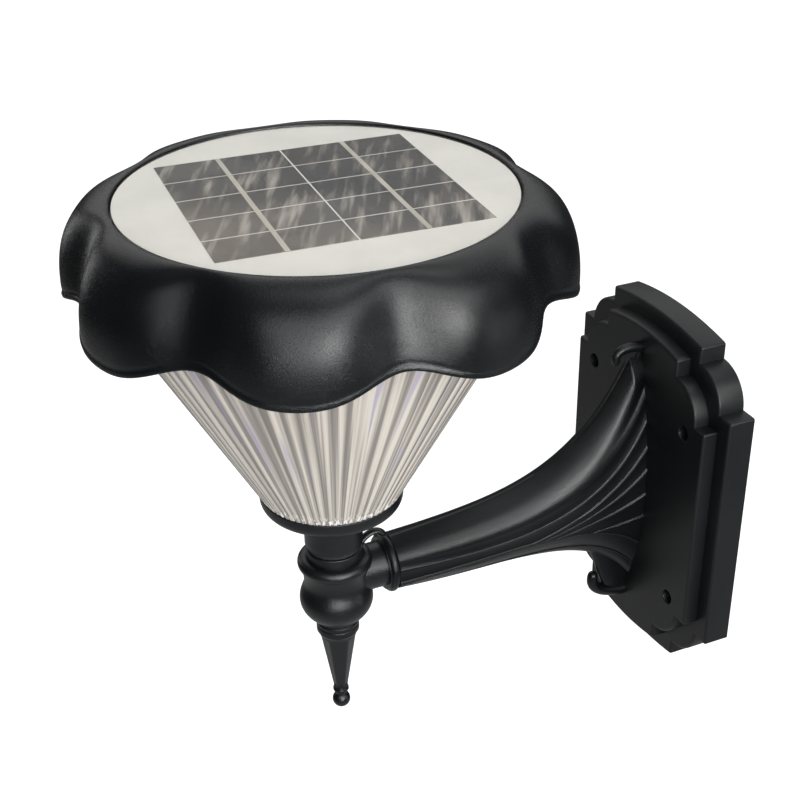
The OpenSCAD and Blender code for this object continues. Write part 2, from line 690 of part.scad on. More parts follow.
cover_top_z = cap_top_z - 0.6;
board_z = cover_top_z - cover_t - board_t;
adhesive_t = 0.6;
ledge_z = board_z - adhesive_t;
ledge_in_r = panel_r - 9;
ledge_t = 2.4;
boss_r = 3;
cap_boss_h = 10.6;
boss_at = cap_r - 3.3;
reflector_z = flange_z + flange_t;
flange_r = min(boss_at - boss_r, cap_out_r(0, reflector_z) - cap_wall) - 0.4;
plate_top_z = reflector_z + plate_t;
plate_screw_r = panel_r - 3.6;
screw_lobes = [for (i = [0 : 2 : lobes - 1]) i];
plate_screw_at = [for (i = screw_lobes) i + 0.5];
switch_lobe = [lobes - 1];

module cap_tray() {
    opening_r = lens_r(flange_z) + 0.4;
    outline = [for (j = [0 : cap_around - 1]) let (a = 360 * j / cap_around,
        r = cap_out_r(a, tray_z + tray_t) - cap_wall - 0.5) [r * cos(a), r * sin(a)]];
    color([0.1, 0.1, 0.105]) on_head() difference() {
        translate([0, 0, tray_z]) linear_extrude(tray_t) polygon(outline);
        translate([0, 0, tray_z - 1]) cylinder(r = opening_r, h = tray_t + 2, $fn = 96);
        at_lobes(screw_lobes, boss_at) cylinder(r = small_r + hole_gap, h = big, $fn = 24);
        at_lobes(switch_lobe, boss_at) cylinder(r = button_r + 0.15, h = big, $fn = 32);
    }
}

module tray_screws() {
    color(steel) on_head() at_lobes(screw_lobes, boss_at) translate([0, 0, tray_z])
        screw(small_r, small_head_r, 1.8, tray_t + 8);
}

module reflector_plate() {
    color("white") on_head() difference() {
        union() {
            translate([0, 0, reflector_z]) cylinder(r = flange_r - 1, h = plate_t, $fn = 96);
            for (s = [-1, 1]) translate([board_x, s * board_screw_y, reflector_z])
                cylinder(r = 3, h = pcb_z - reflector_z, $fn = 32);
        }
        for (s = [-1, 1]) translate([board_x, s * board_screw_y, 0])
            cylinder(r = small_r + hole_gap, h = big, $fn = 24);
        at_lobes(plate_screw_at, plate_screw_r)
            cylinder(r = small_r + hole_gap, h = big, $fn = 24);
        for (i = [0 : 2]) rotate([0, 0, 120 * i]) translate([led_board_r - 5, 0, 0])
            cylinder(r = small_r + hole_gap, h = big, $fn = 24);
        cylinder(r = 3, h = big);
    }
}

module plate_screws() {
    color(steel) on_head() at_lobes(plate_screw_at, plate_screw_r)
        translate([0, 0, reflector_z]) screw(small_r, small_head_r, 1.8, plate_t + 7);
}

module led_board() {
    color([0.9, 0.9, 0.88]) on_head() difference() {
        translate([0, 0, reflector_z - 1.5]) cylinder(r = led_board_r, h = 1.5);
        for (i = [0 : 2]) rotate([0, 0, 120 * i]) translate([led_board_r - 5, 0, 0])
            cylinder(r = small_r + hole_gap, h = big, $fn = 24);
        cylinder(r = 3, h = big);
    }
}

module leds() {
    color([0.95, 0.85, 0.4]) on_head() for (i = [0 : leds_n - 1])
        rotate([0, 0, 360 * (i + 0.5) / leds_n])
            translate([led_board_r * 0.6 - 1.8, -1.8, reflector_z - 2.3]) cube([3.6, 3.6, 0.8]);
}

module led_board_screws() {
    color(steel) on_head() for (i = [0 : 2])
        rotate([0, 0, 120 * i]) translate([led_board_r - 5, 0, reflector_z - 1.5])
            screw(small_r, small_head_r, 1.4, plate_t + 1.4);
}

// Solar panel

grid_l = 2 * panel_r * cells_share_l;
grid_w = 2 * panel_r * cells_share_w;
cell_l = (grid_l - cell_gap) / 2;
cell_w = (grid_w - 4 * cell_gap) / 5;
cells_z = board_z + board_t;

module panel_board() {
    color([0.92, 0.91, 0.88]) on_head() translate([0, 0, board_z])
        cylinder(r = panel_r, h = board_t, $fn = 96);
}

module solar_cells() {
    color([0.13, 0.14, 0.19]) on_head() for (i = [0, 1], j = [0 : 4])
        translate([j * (cell_w + cell_gap) - grid_w / 2, i * (cell_l + cell_gap) - grid_l / 2, cells_z])
            cube([cell_w, cell_l, cell_t]);
}

module cell_ribbons() {
    color([0.78, 0.73, 0.62]) on_head() for (i = [-1, 1])
        translate([-grid_w / 2, i * (cell_l + cell_gap) / 2 - ribbon_w / 2, cells_z + cell_t])
            cube([grid_w, ribbon_w, 0.12]);
}

module panel_cover() {
    color([0.9, 0.9, 0.9, 0.2]) on_head() difference() {
        translate([0, 0, cells_z]) cylinder(r = panel_r, h = cover_t, $fn = 96);
        translate([-grid_w / 2 - 0.1, -grid_l / 2 - 0.1, cells_z - 1])
            cube([grid_w + 0.2, grid_l + 0.2, 1 + cell_t + 0.15]);
    }
}

module panel_adhesive() {
    color([0.2, 0.2, 0.2]) on_head() difference() {
        translate([0, 0, ledge_z]) cylinder(r = panel_r - 1, h = adhesive_t);
        cylinder(r = ledge_in_r + 1, h = big);
    }
}

// Battery, control board, switch and leads

holder_w = battery_d + 4;
battery_x = -20;
battery_z = plate_top_z + 1.6 + battery_d / 2;

module battery_holder() {
    color([0.12, 0.12, 0.12]) on_head() translate([battery_x, 0, plate_top_z]) difference() {
        translate([-holder_w / 2, -battery_l / 2 - 5, 0])
            cube([holder_w, battery_l + 10, battery_d * 0.62]);
        translate([-holder_w / 2 + 1.6, -battery_l / 2 - 3, 1.5])
            cube([holder_w - 3.2, battery_l + 6, battery_d]);
    }
}

module battery() {
    color([0.2, 0.45, 0.7]) on_head() translate([battery_x, -battery_l / 2, battery_z])
        rotate([-90, 0, 0]) {
            cylinder(r = battery_d / 2, h = battery_l - 1);
            translate([0, 0, battery_l - 1]) cylinder(r = 3.2, h = 1);
        }
}

module battery_contacts() {
    color(steel) on_head() for (s = [-1, 1])
        translate([battery_x - 6, s * (battery_l / 2 + 1.5) - 1.45, plate_top_z + 1.6])
            cube([12, 2.9, battery_d * 0.7]);
}

board_x = 6.5;
connector_h = 5;
connector_y = -14;
board_screw_y = 18;
pcb_z = plate_top_z + 4;

module control_board() {
    color([0.1, 0.4, 0.2]) on_head() difference() {
        translate([board_x - 13, -22, pcb_z]) cube([26, 44, 1.6]);
        for (s = [-1, 1]) translate([board_x, s * board_screw_y, 0])
            cylinder(r = small_r + hole_gap, h = big, $fn = 24);
    }
}

module board_parts() {
    color([0.15, 0.15, 0.16]) on_head() translate([board_x, 0, pcb_z + 1.6]) {
        translate([-3, -4, 0]) cube([5, 8, 1.8]);
        translate([6, 6, 0]) cylinder(r = 3, h = 5);
        translate([-8, 8, 0]) cylinder(r = 2.5, h = 7);
        for (i = [0 : 2]) translate([-11 + 8 * i, connector_y, 0]) cube([6, 5, connector_h]);
    }
}

module board_screws() {
    color(steel) on_head() for (s = [-1, 1]) translate([board_x, s * board_screw_y, pcb_z + 1.6])
        rotate([180, 0, 0]) screw(small_r, small_head_r, 1.4, 5.5);
}

button_low_z = tray_z - button_travel - 0.8;
switch_z = tray_z + tray_t;

module switch_body() {
    color([0.16, 0.16, 0.17]) on_head() at_lobes(switch_lobe, boss_at) difference() {
        translate([0, 0, switch_z]) cylinder(r1 = boss_r, r2 = boss_r - 0.6, h = button_travel + 3.4);
        translate([0, 0, switch_z - 1])
            cylinder(r = button_r - 0.45, h = button_travel + 3, $fn = 32);
    }
}

module switch_button() {
    color([0.5, 0.06, 0.05]) on_head() at_lobes(switch_lobe, boss_at) {
        translate([0, 0, button_low_z])
            cylinder(r = button_r, h = switch_z - button_low_z - button_travel - 0.2, $fn = 32);
        translate([0, 0, button_low_z])
            cylinder(r = button_r - 0.6, h = switch_z - button_low_z + 1.6, $fn = 32);
    }
}

// Leads that stand between the panel and the control board's connectors
module panel_leads() {
    z = pcb_z + 1.6 + connector_h;
    color([0.7, 0.1, 0.1]) on_head() for (i = [0, 1])
        translate([board_x + 5 + 3 * i, connector_y + 2.5, z])
            cylinder(r = 0.7, h = board_z - z, $fn = 16);
}

// Leads from the battery holder's side to the first connector
module battery_leads() {
    x = battery_x + holder_w / 2;
    color([0.7, 0.1, 0.1]) on_head() for (i = [0, 1])
        translate([x, connector_y + 1.4 + 2.2 * i, pcb_z + 4]) rotate([0, 90, 0])
            cylinder(r = 0.7, h = board_x - 11 - x, $fn = 16);
}

// Leads from the light board up through the reflector plate
module light_leads() {
    color([0.7, 0.1, 0.1]) on_head() for (i = [-1, 1])
        translate([1.1 * i, 0, reflector_z]) cylinder(r = 0.7, h = pcb_z - reflector_z, $fn = 16);
}

wall_plate();
bracket_arm();
arm_screws();
socket();
stub_screw();
finial();
neck_cup();
neck_seal();
neck_washer();
neck_screw();
lens();
cup_screws();
cap();
cap_tray();
tray_screws();
reflector_plate();
plate_screws();
led_board();
leds();
led_board_screws();
panel_board();
solar_cells();
cell_ribbons();
panel_cover();
panel_adhesive();
battery_holder();
battery();
battery_contacts();
control_board();
board_parts();
board_screws();
switch_body();
switch_button();
panel_leads();
battery_leads();
light_leads();
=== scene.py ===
"""A solar wall light with its surfaces, finishes, lights and camera.

Each operator makes one piece, or one group of like pieces, from sizes and colours that are
held in property groups. The properties hold metres, and the shapes are worked out in
millimetres. The wall plate's back face is the plane y = 0, and the lamp stands out towards -Y.
"""

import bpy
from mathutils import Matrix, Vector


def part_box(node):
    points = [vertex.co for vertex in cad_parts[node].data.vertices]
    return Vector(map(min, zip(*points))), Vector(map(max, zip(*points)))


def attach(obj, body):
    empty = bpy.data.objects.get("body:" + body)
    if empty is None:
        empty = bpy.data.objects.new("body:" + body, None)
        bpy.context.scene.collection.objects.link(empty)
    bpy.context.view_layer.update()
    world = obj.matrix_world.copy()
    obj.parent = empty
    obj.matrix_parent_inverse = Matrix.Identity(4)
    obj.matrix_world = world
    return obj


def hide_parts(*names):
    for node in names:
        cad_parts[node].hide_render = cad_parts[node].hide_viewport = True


bl_info = {
    "name": "Solar Wall Light",
    "version": (1, 0, 0),
    "blender": (4, 5, 0),
    "location": "3D View > Sidebar > Wall Light",
    "description": "Adds the pieces, finishes and stage of a solar wall light",
    "category": "Object",
}

import math

import bpy
import numpy as np
from bpy.props import FloatProperty, FloatVectorProperty, IntProperty, PointerProperty
from bpy.types import Operator, Panel, PropertyGroup
from mathutils import Matrix, Vector
from mathutils.geometry import tessellate_polygon

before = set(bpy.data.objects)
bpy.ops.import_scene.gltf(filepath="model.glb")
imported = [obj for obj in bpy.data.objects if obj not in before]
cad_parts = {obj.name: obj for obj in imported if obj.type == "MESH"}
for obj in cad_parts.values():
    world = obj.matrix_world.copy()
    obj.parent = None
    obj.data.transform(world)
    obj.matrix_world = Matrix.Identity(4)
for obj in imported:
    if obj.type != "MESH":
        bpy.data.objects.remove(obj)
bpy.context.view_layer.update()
MM = 0.001


# Sizes and colours

def mm(name, description, millimetres):
    """A length property, given in millimetres and held in metres."""
    return FloatProperty(name=name, description=description, default=millimetres * MM,
                         unit="LENGTH", subtype="DISTANCE", precision=5)


def degrees(name, description, value):
    """An angle property, given in degrees."""
    return FloatProperty(name=name, description=description, default=math.radians(value),
                         subtype="ANGLE")


def share(name, description, value):
    """A share from 0 to 1."""
    return FloatProperty(name=name, description=description, default=value,
                         min=0.0, max=1.0, subtype="FACTOR")


def colour(name, description, value):
    """A colour property in linear light."""
    return FloatVectorProperty(name=name, description=description, default=value,
                               size=3, min=0.0, max=1.0, subtype="COLOR")


class PlateSizes(PropertyGroup):
    """The wall plate's sizes"""
    width: mm("Width", "Width of the back tier", 123.2)
    side: mm("Side height", "Height of the back tier's straight sides", 121)
    back_t: mm("Back tier", "Thickness of the back tier", 12.8)
    back_shoulder: mm("Back shoulder", "Step of the back tier's shoulders", 8.4)
    front_t: mm("Front tier", "Thickness of the front tier", 7.1)
    front_width: mm("Front width", "Width of the front tier", 106.8)
    front_side: mm("Front side", "Height of the front tier's straight sides", 104.8)
    front_shoulder: mm("Front shoulder", "Step of the front tier's shoulders", 7.1)
    front_up: mm("Front arch", "How much higher the front tier's arches stand", 0.3)
    shoulder_r: mm("Shoulder radius", "Radius of the quarter-round shoulders", 17.2)
    arch_step: mm("Arch step", "Straight step below the arched top", 7.7)
    arch_rise: mm("Arch rise", "Rise of the arched top and bottom", 3.6)
    wall: mm("Wall", "Wall of the moulding", 3)
    edge_r: mm("Edge radius", "Rounding of the edges", 1.1)
    corner_r: mm("Corner radius", "Rounding of the outline's corners", 0.9)
    pitch_x: mm("Hole pitch across", "Distance across between screw holes", 77)
    pitch_z: mm("Hole pitch up", "Distance up between screw holes", 91)
    hole_d: mm("Hole diameter", "Diameter of a screw hole", 7)


class ArmSizes(PropertyGroup):
    """The bracket arm's sizes"""
    reach: mm("Reach", "Distance from the wall to the lamp's upright axis", 173.5)
    height: mm("Arm height", "Height of the arm's front end", -10.5)
    ring_out: mm("Ring distance", "Distance of the front ring from the upright axis", 22)
    ring_r: mm("Ring radius", "Radius of the arm's front ring", 13.9)
    ring_w: mm("Ring width", "Width of the arm's front ring", 5.2)
    foot_w: mm("Foot half width", "Half width of the foot on the plate", 13.8)
    tip: mm("Tip height", "Height at which the spine stops", 66)
    scroll_r: mm("Scroll radius", "Thickest radius of the scroll bars", 3.2)


class SocketSizes(PropertyGroup):
    """The socket's and the finial's sizes"""
    top_z: mm("Socket top", "Height of the step ring's top", 6.3)
    low_z: mm("Socket bottom", "Height at which the finial starts", -36.6)
    step_r: mm("Step radius", "Radius of the step ring", 12.7)
    roll_r: mm("Roll radius", "Radius of the rolled rim", 3.3)
    waist_r: mm("Waist radius", "Radius at the waist", 14.3)
    belly_r: mm("Belly radius", "Radius at the belly", 16.7)
    stub_r: mm("Stub radius", "Radius of the side stub", 10.5)
    bore_r: mm("Bore radius", "Bore in which the head turns", 10.5)
    collar_r: mm("Collar radius", "Radius of the collar at the bottom", 9.7)
    spike: mm("Spike length", "Length of the six-sided spike", 31)
    spike_r: mm("Spike radius", "Radius at the spike's top", 8.6)
    tip_r: mm("Tip radius", "Radius at the spike's tip", 3.4)
    spike_turn: degrees("Spike turn", "Turn of the spike's six sides", 11)
    ball_r: mm("Ball radius", "Radius of the ball at the tip", 4.2)


class HeadSizes(PropertyGroup):
    """The lamp head's sizes"""
    turn: degrees("Turn", "Turn of the head from straight ahead", -3)
    spigot_r: mm("Spigot radius", "Radius of the spigot that turns in the socket", 10.45)
    neck_r: mm("Neck radius", "Radius of the neck", 13)
    cup_r: mm("Cup radius", "Radius of the cup's rim", 31.3)
    joint_z: mm("Joint height", "Height of the joint of cup and lens", 38)
    lens_slope: share("Lens slope", "Growth of the lens's radius with its height", 0.538)
    lens_top_z: mm("Lens top", "Height at which the lens enters the tray", 144.9)
    lens_wall: mm("Lens wall", "Wall of the lens", 2.4)
    flutes: IntProperty(name="Flutes", description="Number of flutes round the lens", default=72)
    flute: mm("Flute depth", "Depth of a flute at the foot of the lens", 0.5175)
    lobes: IntProperty(name="Lobes", description="Number of lobes round the cap", default=8)
    cap_r: mm("Cap radius", "Mean radius of the cap's lower edge", 98.7)
    lobe_depth: mm("Lobe depth", "How far lobes and valleys part from the mean", 3.8)
    cap_low_z: mm("Cap edge height", "Mean height of the cap's lower edge", 137.3)
    lobe_drop: mm("Lobe drop", "Drop of the lobes below that height", 3.9)
    cap_top_z: mm("Cap top", "Height of the cap's lip", 173.8)
    cap_wall: mm("Cap wall", "Wall of the cap", 2.6)
    rim_w: mm("Rim width", "Width of the flat rim round the panel", 4.5)
    panel_r: mm("Panel radius", "Radius of the panel", 78.3)
    panel_gap: mm("Panel gap", "Gap round the panel", 0.9)
    cell_l: mm("Cell length", "Length of a cell, out from the wall", 52.5)
    cell_w: mm("Cell width", "Width of a cell", 19.25)
    cell_t: mm("Cell thickness", "Thickness of a cell", 0.2)
    cell_gap: mm("Column gap", "Gap between the two columns of cells", 0.9)
    row_gap: mm("Row gap", "Gap between the rows of cells", 1.25)
    ribbon_w: mm("Ribbon width", "Width of the ribbon that joins the cells", 2)


class Finishes(PropertyGroup):
    """Colours and gloss of the finishes"""
    black: colour("Black plastic", "Colour of the black plastic", (0.0032, 0.0042, 0.0050))
    black_rough: share("Black roughness", "Roughness of the cap, and least of the blacks", 0.25)
    panel_white: colour("Panel white", "Colour of the panel's board", (0.77, 0.752, 0.685))
    cell_dark: colour("Cell", "Colour of the cells", (0.016, 0.017, 0.022))
    cell_brown: colour("Cell haze", "Paler patches on the cells", (0.052, 0.045, 0.036))
    # Cell streak is a painted reflection: the colour of pale streaks of glare painted into the
    # cells, running the way the streak turn gives.
    cell_streak: colour("Cell streak", "Streaks on the cells", (0.46, 0.42, 0.37))
    # This colour is blended over the cells' front corner, making it paler.
    cell_dust: colour("Cell dust", "Dusty front corner of the cells", (0.20, 0.175, 0.145))
    streak_turn: degrees("Streak turn", "Direction of the streaks on the cells", 23)
    ribbon: colour("Ribbon", "Colour of the tinned ribbon", (0.62, 0.58, 0.49))
    # Lens pale and lens dark are painted light and painted shade: the streaks that the flutes make
    # of the light through them.
    lens_pale: colour("Lens pale", "Pale streaks of the lens", (0.68, 0.63, 0.56))
    lens_dark: colour("Lens dark", "Dark streaks of the lens", (0.23, 0.21, 0.19))
    steel: colour("Steel", "Colour of the plated screws", (0.60, 0.60, 0.61))


class StageSettings(PropertyGroup):
    """The floor, the lights and the camera"""
    floor_z: mm("Floor height", "Height of the floor", -420)
    eye: FloatVectorProperty(name="Camera place", description="Where the camera stands",
                             default=(0.4739, -0.3426, 0.3664), size=3, unit="LENGTH")
    focal_px: FloatProperty(name="Focal length", default=1383.25,
                            description="Focal length in pixels of a picture 800 pixels wide")
    azimuth: degrees("Azimuth", "Direction of view round the upright axis", 66.89)
    elevation: degrees("Elevation", "Angle at which the camera looks down", 29.72)
    roll: degrees("Roll", "Turn of the camera about its line of sight", -1.06)
    world: share("World light", "Strength of the dome of light at its top", 0.55)


class LightSettings(PropertyGroup):
    """All the sizes and colours of the wall light"""
    plate: PointerProperty(type=PlateSizes)
    arm: PointerProperty(type=ArmSizes)
    socket: PointerProperty(type=SocketSizes)
    head: PointerProperty(type=HeadSizes)
    finish: PointerProperty(type=Finishes)
    stage: PointerProperty(type=StageSettings)


def settings():
    """The scene's sizes and colours."""
    return bpy.context.scene.wall_light


class Sizes:
    """The values of one property group, its lengths in millimetres."""

    def __init__(self, part):
        group = getattr(settings(), part)
        for kind in group.bl_rna.properties:
            value = getattr(group, kind.identifier)
            setattr(self, kind.identifier, value / MM if kind.unit == "LENGTH" else value)


# Curves and surfaces

def cubic(a, b, c, d, count):
    """A cubic between numbers, points or grids of points:
    a(1-t)^3 + 3bt(1-t)^2 + 3ct^2(1-t) + dt^3."""
    a, b, c, d = (np.asarray(p, float) for p in (a, b, c, d))
    t = np.linspace(0, 1, count).reshape(-1, *[1] * a.ndim)
    return a * (1 - t) ** 3 + 3 * b * t * (1 - t) ** 2 + 3 * c * t ** 2 * (1 - t) + d * t ** 3


def arc(centre, radius, start, end, count):
    """Points at centre + radius (cos a, sin a), a from start to end in degrees."""
    a = np.radians(np.linspace(start, end, count))
    return np.asarray(centre) + radius * np.stack([np.cos(a), np.sin(a)], -1)


def joined(*runs, same=1e-4):
    """One run of points from several, where points closer than same are one."""
    points = np.concatenate([np.asarray(run, float).reshape(-1, 2) for run in runs])
    apart = np.linalg.norm(np.diff(points, axis=0), axis=1) > same
    return points[np.concatenate([[True], apart])]


def turns(count):
    """Evenly spaced angles, once round."""
    return np.linspace(0, 2 * np.pi, count, endpoint=False)


def circles(r, z, a):
    """Points (r cos a, r sin a, z)."""
    r, z, a = np.broadcast_arrays(r, z, a)
    return np.stack([r * np.cos(a), r * np.sin(a), z], -1)


def ring_stack(a, *pairs):
    """Rings at a row of angles a, for pairs (r, z) of numbers or arrays."""
    return np.concatenate([circles(r, z, a) for r, z in pairs])


def grid_faces(rows, columns, closed=False):
    """Faces between neighbouring points of a stack of rings. Where asked, the last ring
    joins the first."""
    r = np.arange(rows if closed else rows - 1)[:, None]
    c = np.arange(columns)[None, :]
    r2, c2 = (r + 1) % rows, (c + 1) % columns
    corners = (r * columns + c, r * columns + c2, r2 * columns + c2, r2 * columns + c)
    return np.stack(np.broadcast_arrays(*corners), -1).reshape(-1, 4)


def fan(ring, tip):
    """Triangles from each edge of a closed ring of indices to one point."""
    return np.stack([ring, np.roll(ring, -1), np.full(len(ring), tip)], -1)


def closed_ring(points):
    """A shell from a grid of points that closes on itself both ways."""
    return points.reshape(-1, 3), [grid_faces(*points.shape[:2], True)]


def closed_stack(points, start=None, end=None):
    """A shell from a grid of rings (rows, columns, 3), closed at both ends by a fan
    to the middle of the end ring, or to a given point."""
    rows, columns = points.shape[:2]
    count = rows * columns
    tips = [points[0].mean(0) if start is None else start,
            points[-1].mean(0) if end is None else end]
    faces = [grid_faces(rows, columns),
             fan(np.arange(columns)[::-1], count),
             fan(np.arange(columns) + (rows - 1) * columns, count + 1)]
    return np.concatenate([points.reshape(-1, 3), tips]), faces


def revolved(profile, around=144, closed=False):
    """The surface (r cos a, r sin a, z) of a profile of (r, z) points. A profile that
    starts and ends on the axis gets poles, and a closed one is a ring."""
    r, z = np.asarray(profile, float).T[..., None]
    if closed:
        return closed_ring(circles(r, z, turns(around)))
    return closed_stack(circles(r[1:-1], z[1:-1], turns(around)), (0, 0, z[0, 0]), (0, 0, z[-1, 0]))


def swept(path, radii, rings, sides=28, width=1.0):
    """A bar of oval section along a path of (y, z) points in the plane x = 0:
    p + r (cos a n + width sin a x), n square to the path. A few rings round its far end."""
    step = path[-1] - path[-2]
    a = np.radians(np.linspace(0, 88, rings + 1)[1:])
    out = np.outer(np.sin(a), step / np.linalg.norm(step) * radii[-1])
    path = np.concatenate([path, path[-1] + out])
    radii = np.concatenate([radii, radii[-1] * np.cos(a)])
    way = np.gradient(path, axis=0)
    way /= np.linalg.norm(way, axis=1, keepdims=True)
    a = turns(sides)
    u, w = radii[:, None] * np.cos(a), radii[:, None] * width * np.sin(a)
    y, z = path[:, :1] - u * way[:, 1:], path[:, 1:] + u * way[:, :1]
    return closed_stack(np.stack([w, y, z], -1))


def tipped(shell, way=1):
    """A shell turned a quarter about X: (x, y, z) to (x, z, -y), or for way -1 to (x, -z, y)."""
    points, faces = shell
    return np.stack([points[:, 0], way * points[:, 2], -way * points[:, 1]], -1), faces


def moved(shell, offset):
    """A shell shifted by an offset."""
    return shell[0] + np.asarray(offset, float), shell[1]


def block(low, high):
    """A box between two corners."""
    low, high = np.asarray(low, float), np.asarray(high, float)
    pick = np.array([[0, 0, 0], [1, 0, 0], [1, 1, 0], [0, 1, 0],
                     [0, 0, 1], [1, 0, 1], [1, 1, 1], [0, 1, 1]])
    faces = np.array([[0, 3, 2, 1], [4, 5, 6, 7], [0, 1, 5, 4],
                      [1, 2, 6, 5], [2, 3, 7, 6], [3, 0, 4, 7]])
    return low + (high - low) * pick, [faces]


def on_axis(shell):
    """A shell about the origin set on the lamp's upright axis."""
    return moved(shell, (0, -Sizes("arm").reach, 0))


def on_head(shell):
    """A shell about the origin turned with the head and set on the lamp's axis."""
    (x, y, z), turn = shell[0].T, settings().head.turn
    c, s = math.cos(turn), math.sin(turn)
    return on_axis((np.stack([x * c - y * s, x * s + y * c, z], -1), shell[1]))


def outward(points, faces):
    """Faces turned so that the shell's volume, the sum of a.(b x c) over its triangles, is
    above zero."""
    volume = 0.0
    for group in faces:
        a = points[group[:, 0]]
        for k in range(1, group.shape[1] - 1):
            square = np.cross(points[group[:, k]], points[group[:, k + 1]])
            volume += np.einsum("ij,ij->i", a, square).sum()
    return faces if volume > 0 else [group[:, ::-1] for group in faces]


def placed(name, data):
    """A new object in the scene."""
    thing = bpy.data.objects.new(name, data)
    bpy.context.scene.collection.objects.link(thing)
    return thing


def add_piece(name, shells, material, body, sharp, replaces=()):
    """A mesh object from closed shells of (points, faces), smooth except at edges
    sharper than the given angle. It rides on a body and takes a material slot. The result
    is what an operator returns."""
    points, faces, offset = [], [], 0
    for shell, groups in shells:
        for group in outward(shell, groups):
            faces += (group + offset).tolist()
        points.append(shell * MM)
        offset += len(shell)
    mesh = bpy.data.meshes.new(name)
    mesh.from_pydata(np.concatenate(points), [], faces, shade_flat=False)
    mesh.validate()
    mesh.set_sharp_from_angle(angle=math.radians(sharp))
    mesh.materials.append(material)
    piece = placed(name, mesh)
    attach(piece, body)
    if replaces:
        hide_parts(*replaces)
    return {"FINISHED"}


# Shader maths

def maths(operation):
    """A method that adds a maths node for a value and the values it is used with."""
    def method(self, *others):
        return self.nodes.node("Math", {"operation": operation}, dict(enumerate((self, *others))))
    return method


class Value:
    """A node's output that works in Python expressions."""

    def __init__(self, nodes, socket):
        self.nodes, self.socket = nodes, socket

    __add__ = __radd__ = maths("ADD")
    __mul__ = __rmul__ = maths("MULTIPLY")
    __sub__, __truediv__ = maths("SUBTRACT"), maths("DIVIDE")
    fract, abs, atan2 = maths("FRACT"), maths("ABSOLUTE"), maths("ARCTAN2")

    def between(self, low, high):
        """Rises smoothly from 0 to 1 as the value goes from low to high."""
        return self.nodes.node("MapRange", {"interpolation_type": "SMOOTHSTEP"},
                               {"Value": self, "From Min": low, "From Max": high})


class Nodes:
    """The nodes of a material or a world, made from nothing."""

    def __init__(self, owner):
        owner.use_nodes = True
        self.owner, self.tree = owner, owner.node_tree
        self.tree.nodes.clear()

    def node(self, kind, options=None, inputs=None, output=0):
        """Adds a node: its type, its settings, its sockets' values or links, and which
        output to use."""
        made = self.tree.nodes.new("ShaderNode" + kind)
        for key, value in (options or {}).items():
            setattr(made, key, value)
        for key, value in (inputs or {}).items():
            if isinstance(value, Value):
                self.tree.links.new(value.socket, made.inputs[key])
            else:
                made.inputs[key].default_value = value
        return Value(self, made.outputs[output]) if made.outputs else None

    def place(self, centre=(0, 0, 0), turn=0.0):
        """Object coordinates about a centre, turned about Z."""
        spot = self.node("TexCoord", output="Object")
        shifted = self.node("VectorMath", {"operation": "SUBTRACT"}, {0: spot, 1: tuple(centre)})
        return self.node("Mapping", {"vector_type": "POINT"},
                         {"Vector": shifted, "Rotation": (0, 0, turn)})

    def on_head(self):
        """The parts of a place about the lamp's axis, turned with the head, and that place."""
        where = self.place((0, -settings().arm.reach, 0), -settings().head.turn)
        return *self.parts(where), where

    def parts(self, vector):
        """The x, y and z of a vector."""
        split = self.node("SeparateXYZ", inputs={0: vector}).socket.node
        return [Value(self, split.outputs[k]) for k in range(3)]

    def noise(self, where, scale, detail=2.0, rough=0.5):
        """Noise at a vector, or at three values."""
        if isinstance(where, tuple):
            where = self.node("CombineXYZ", inputs=dict(enumerate(where)))
        return self.node("TexNoise", inputs={"Vector": where, "Scale": scale, "Detail": detail,
                                             "Roughness": rough})

    def blend(self, factor, first, second):
        """Mixes two colours."""
        return self.node("Mix", {"data_type": "RGBA"},
                         {0: factor, 6: rgba(first), 7: rgba(second)}, output=2)

    def bump(self, height, strength, distance):
        """The normal of a surface raised by a height."""
        return self.node("Bump", inputs={"Height": height, "Strength": strength,
                                         "Distance": distance})

    def surface(self, **inputs):
        """Ends the material in a Principled shader with the given sockets."""
        named = {key.replace("_", " "): rgba(value) if "Color" in key else value
                 for key, value in inputs.items()}
        shader = self.node("BsdfPrincipled", inputs=named)
        self.node("OutputMaterial", inputs={"Surface": shader})
        return self.owner


def finish(name):
    """The nodes of a new material."""
    return Nodes(bpy.data.materials.new(name))


def rgba(value):
    """A colour with its alpha, or a link as it is."""
    return value if isinstance(value, Value) or len(value) == 4 else (*value, 1.0)


def shaded(value, factor):
    """A colour made darker or lighter, at most white."""
    return [min(1.0, c * factor) for c in value]


# Roughness above the cap's, grain, tint and gloss of each satin black
BLACKS = {
    "cap_black": (0, 0.75, 1.0, 0.5),
    "arm_black": (0.06, 0.5, 1.0, 0.44),
    "turned_black": (0.09, 0.5, 1.1, 0.62),
    "plate_black": (0.17, 0.30, 1.0, 0.5),
    "tray_black": (0.25, 0.25, 1.8, 0.5),
}
MADE = {}


def satin_black(name):
    """Satin black plastic with a fine moulded grain and broad, faint clouding, made when it
    is first asked for."""
    if name in MADE:
        return MADE[name]
    more_rough, grain, tint, gloss = BLACKS[name]
    rough = settings().finish.black_rough + more_rough
    m = finish(name)
    where = m.place()
    cloud = m.noise(where, 22.0, 3.0, 0.55)
    fine = m.noise(where, 2600.0, 2.0, 0.6)
    soft = m.noise(where, 1500.0, 2.0, 0.6)
    black = Vector(settings().finish.black) * tint
    MADE[name] = m.surface(
        Base_Color=m.blend(cloud.between(0.3, 0.75), shaded(black, 0.8), shaded(black, 1.35)),
        Roughness=rough + (cloud - 0.5) * 0.10 + (fine - 0.5) * 0.16,
        Normal=m.bump(fine * 0.5 + soft * 0.5, grain, 0.00024), IOR=1.46,
        Specular_IOR_Level=gloss)
    return MADE[name]


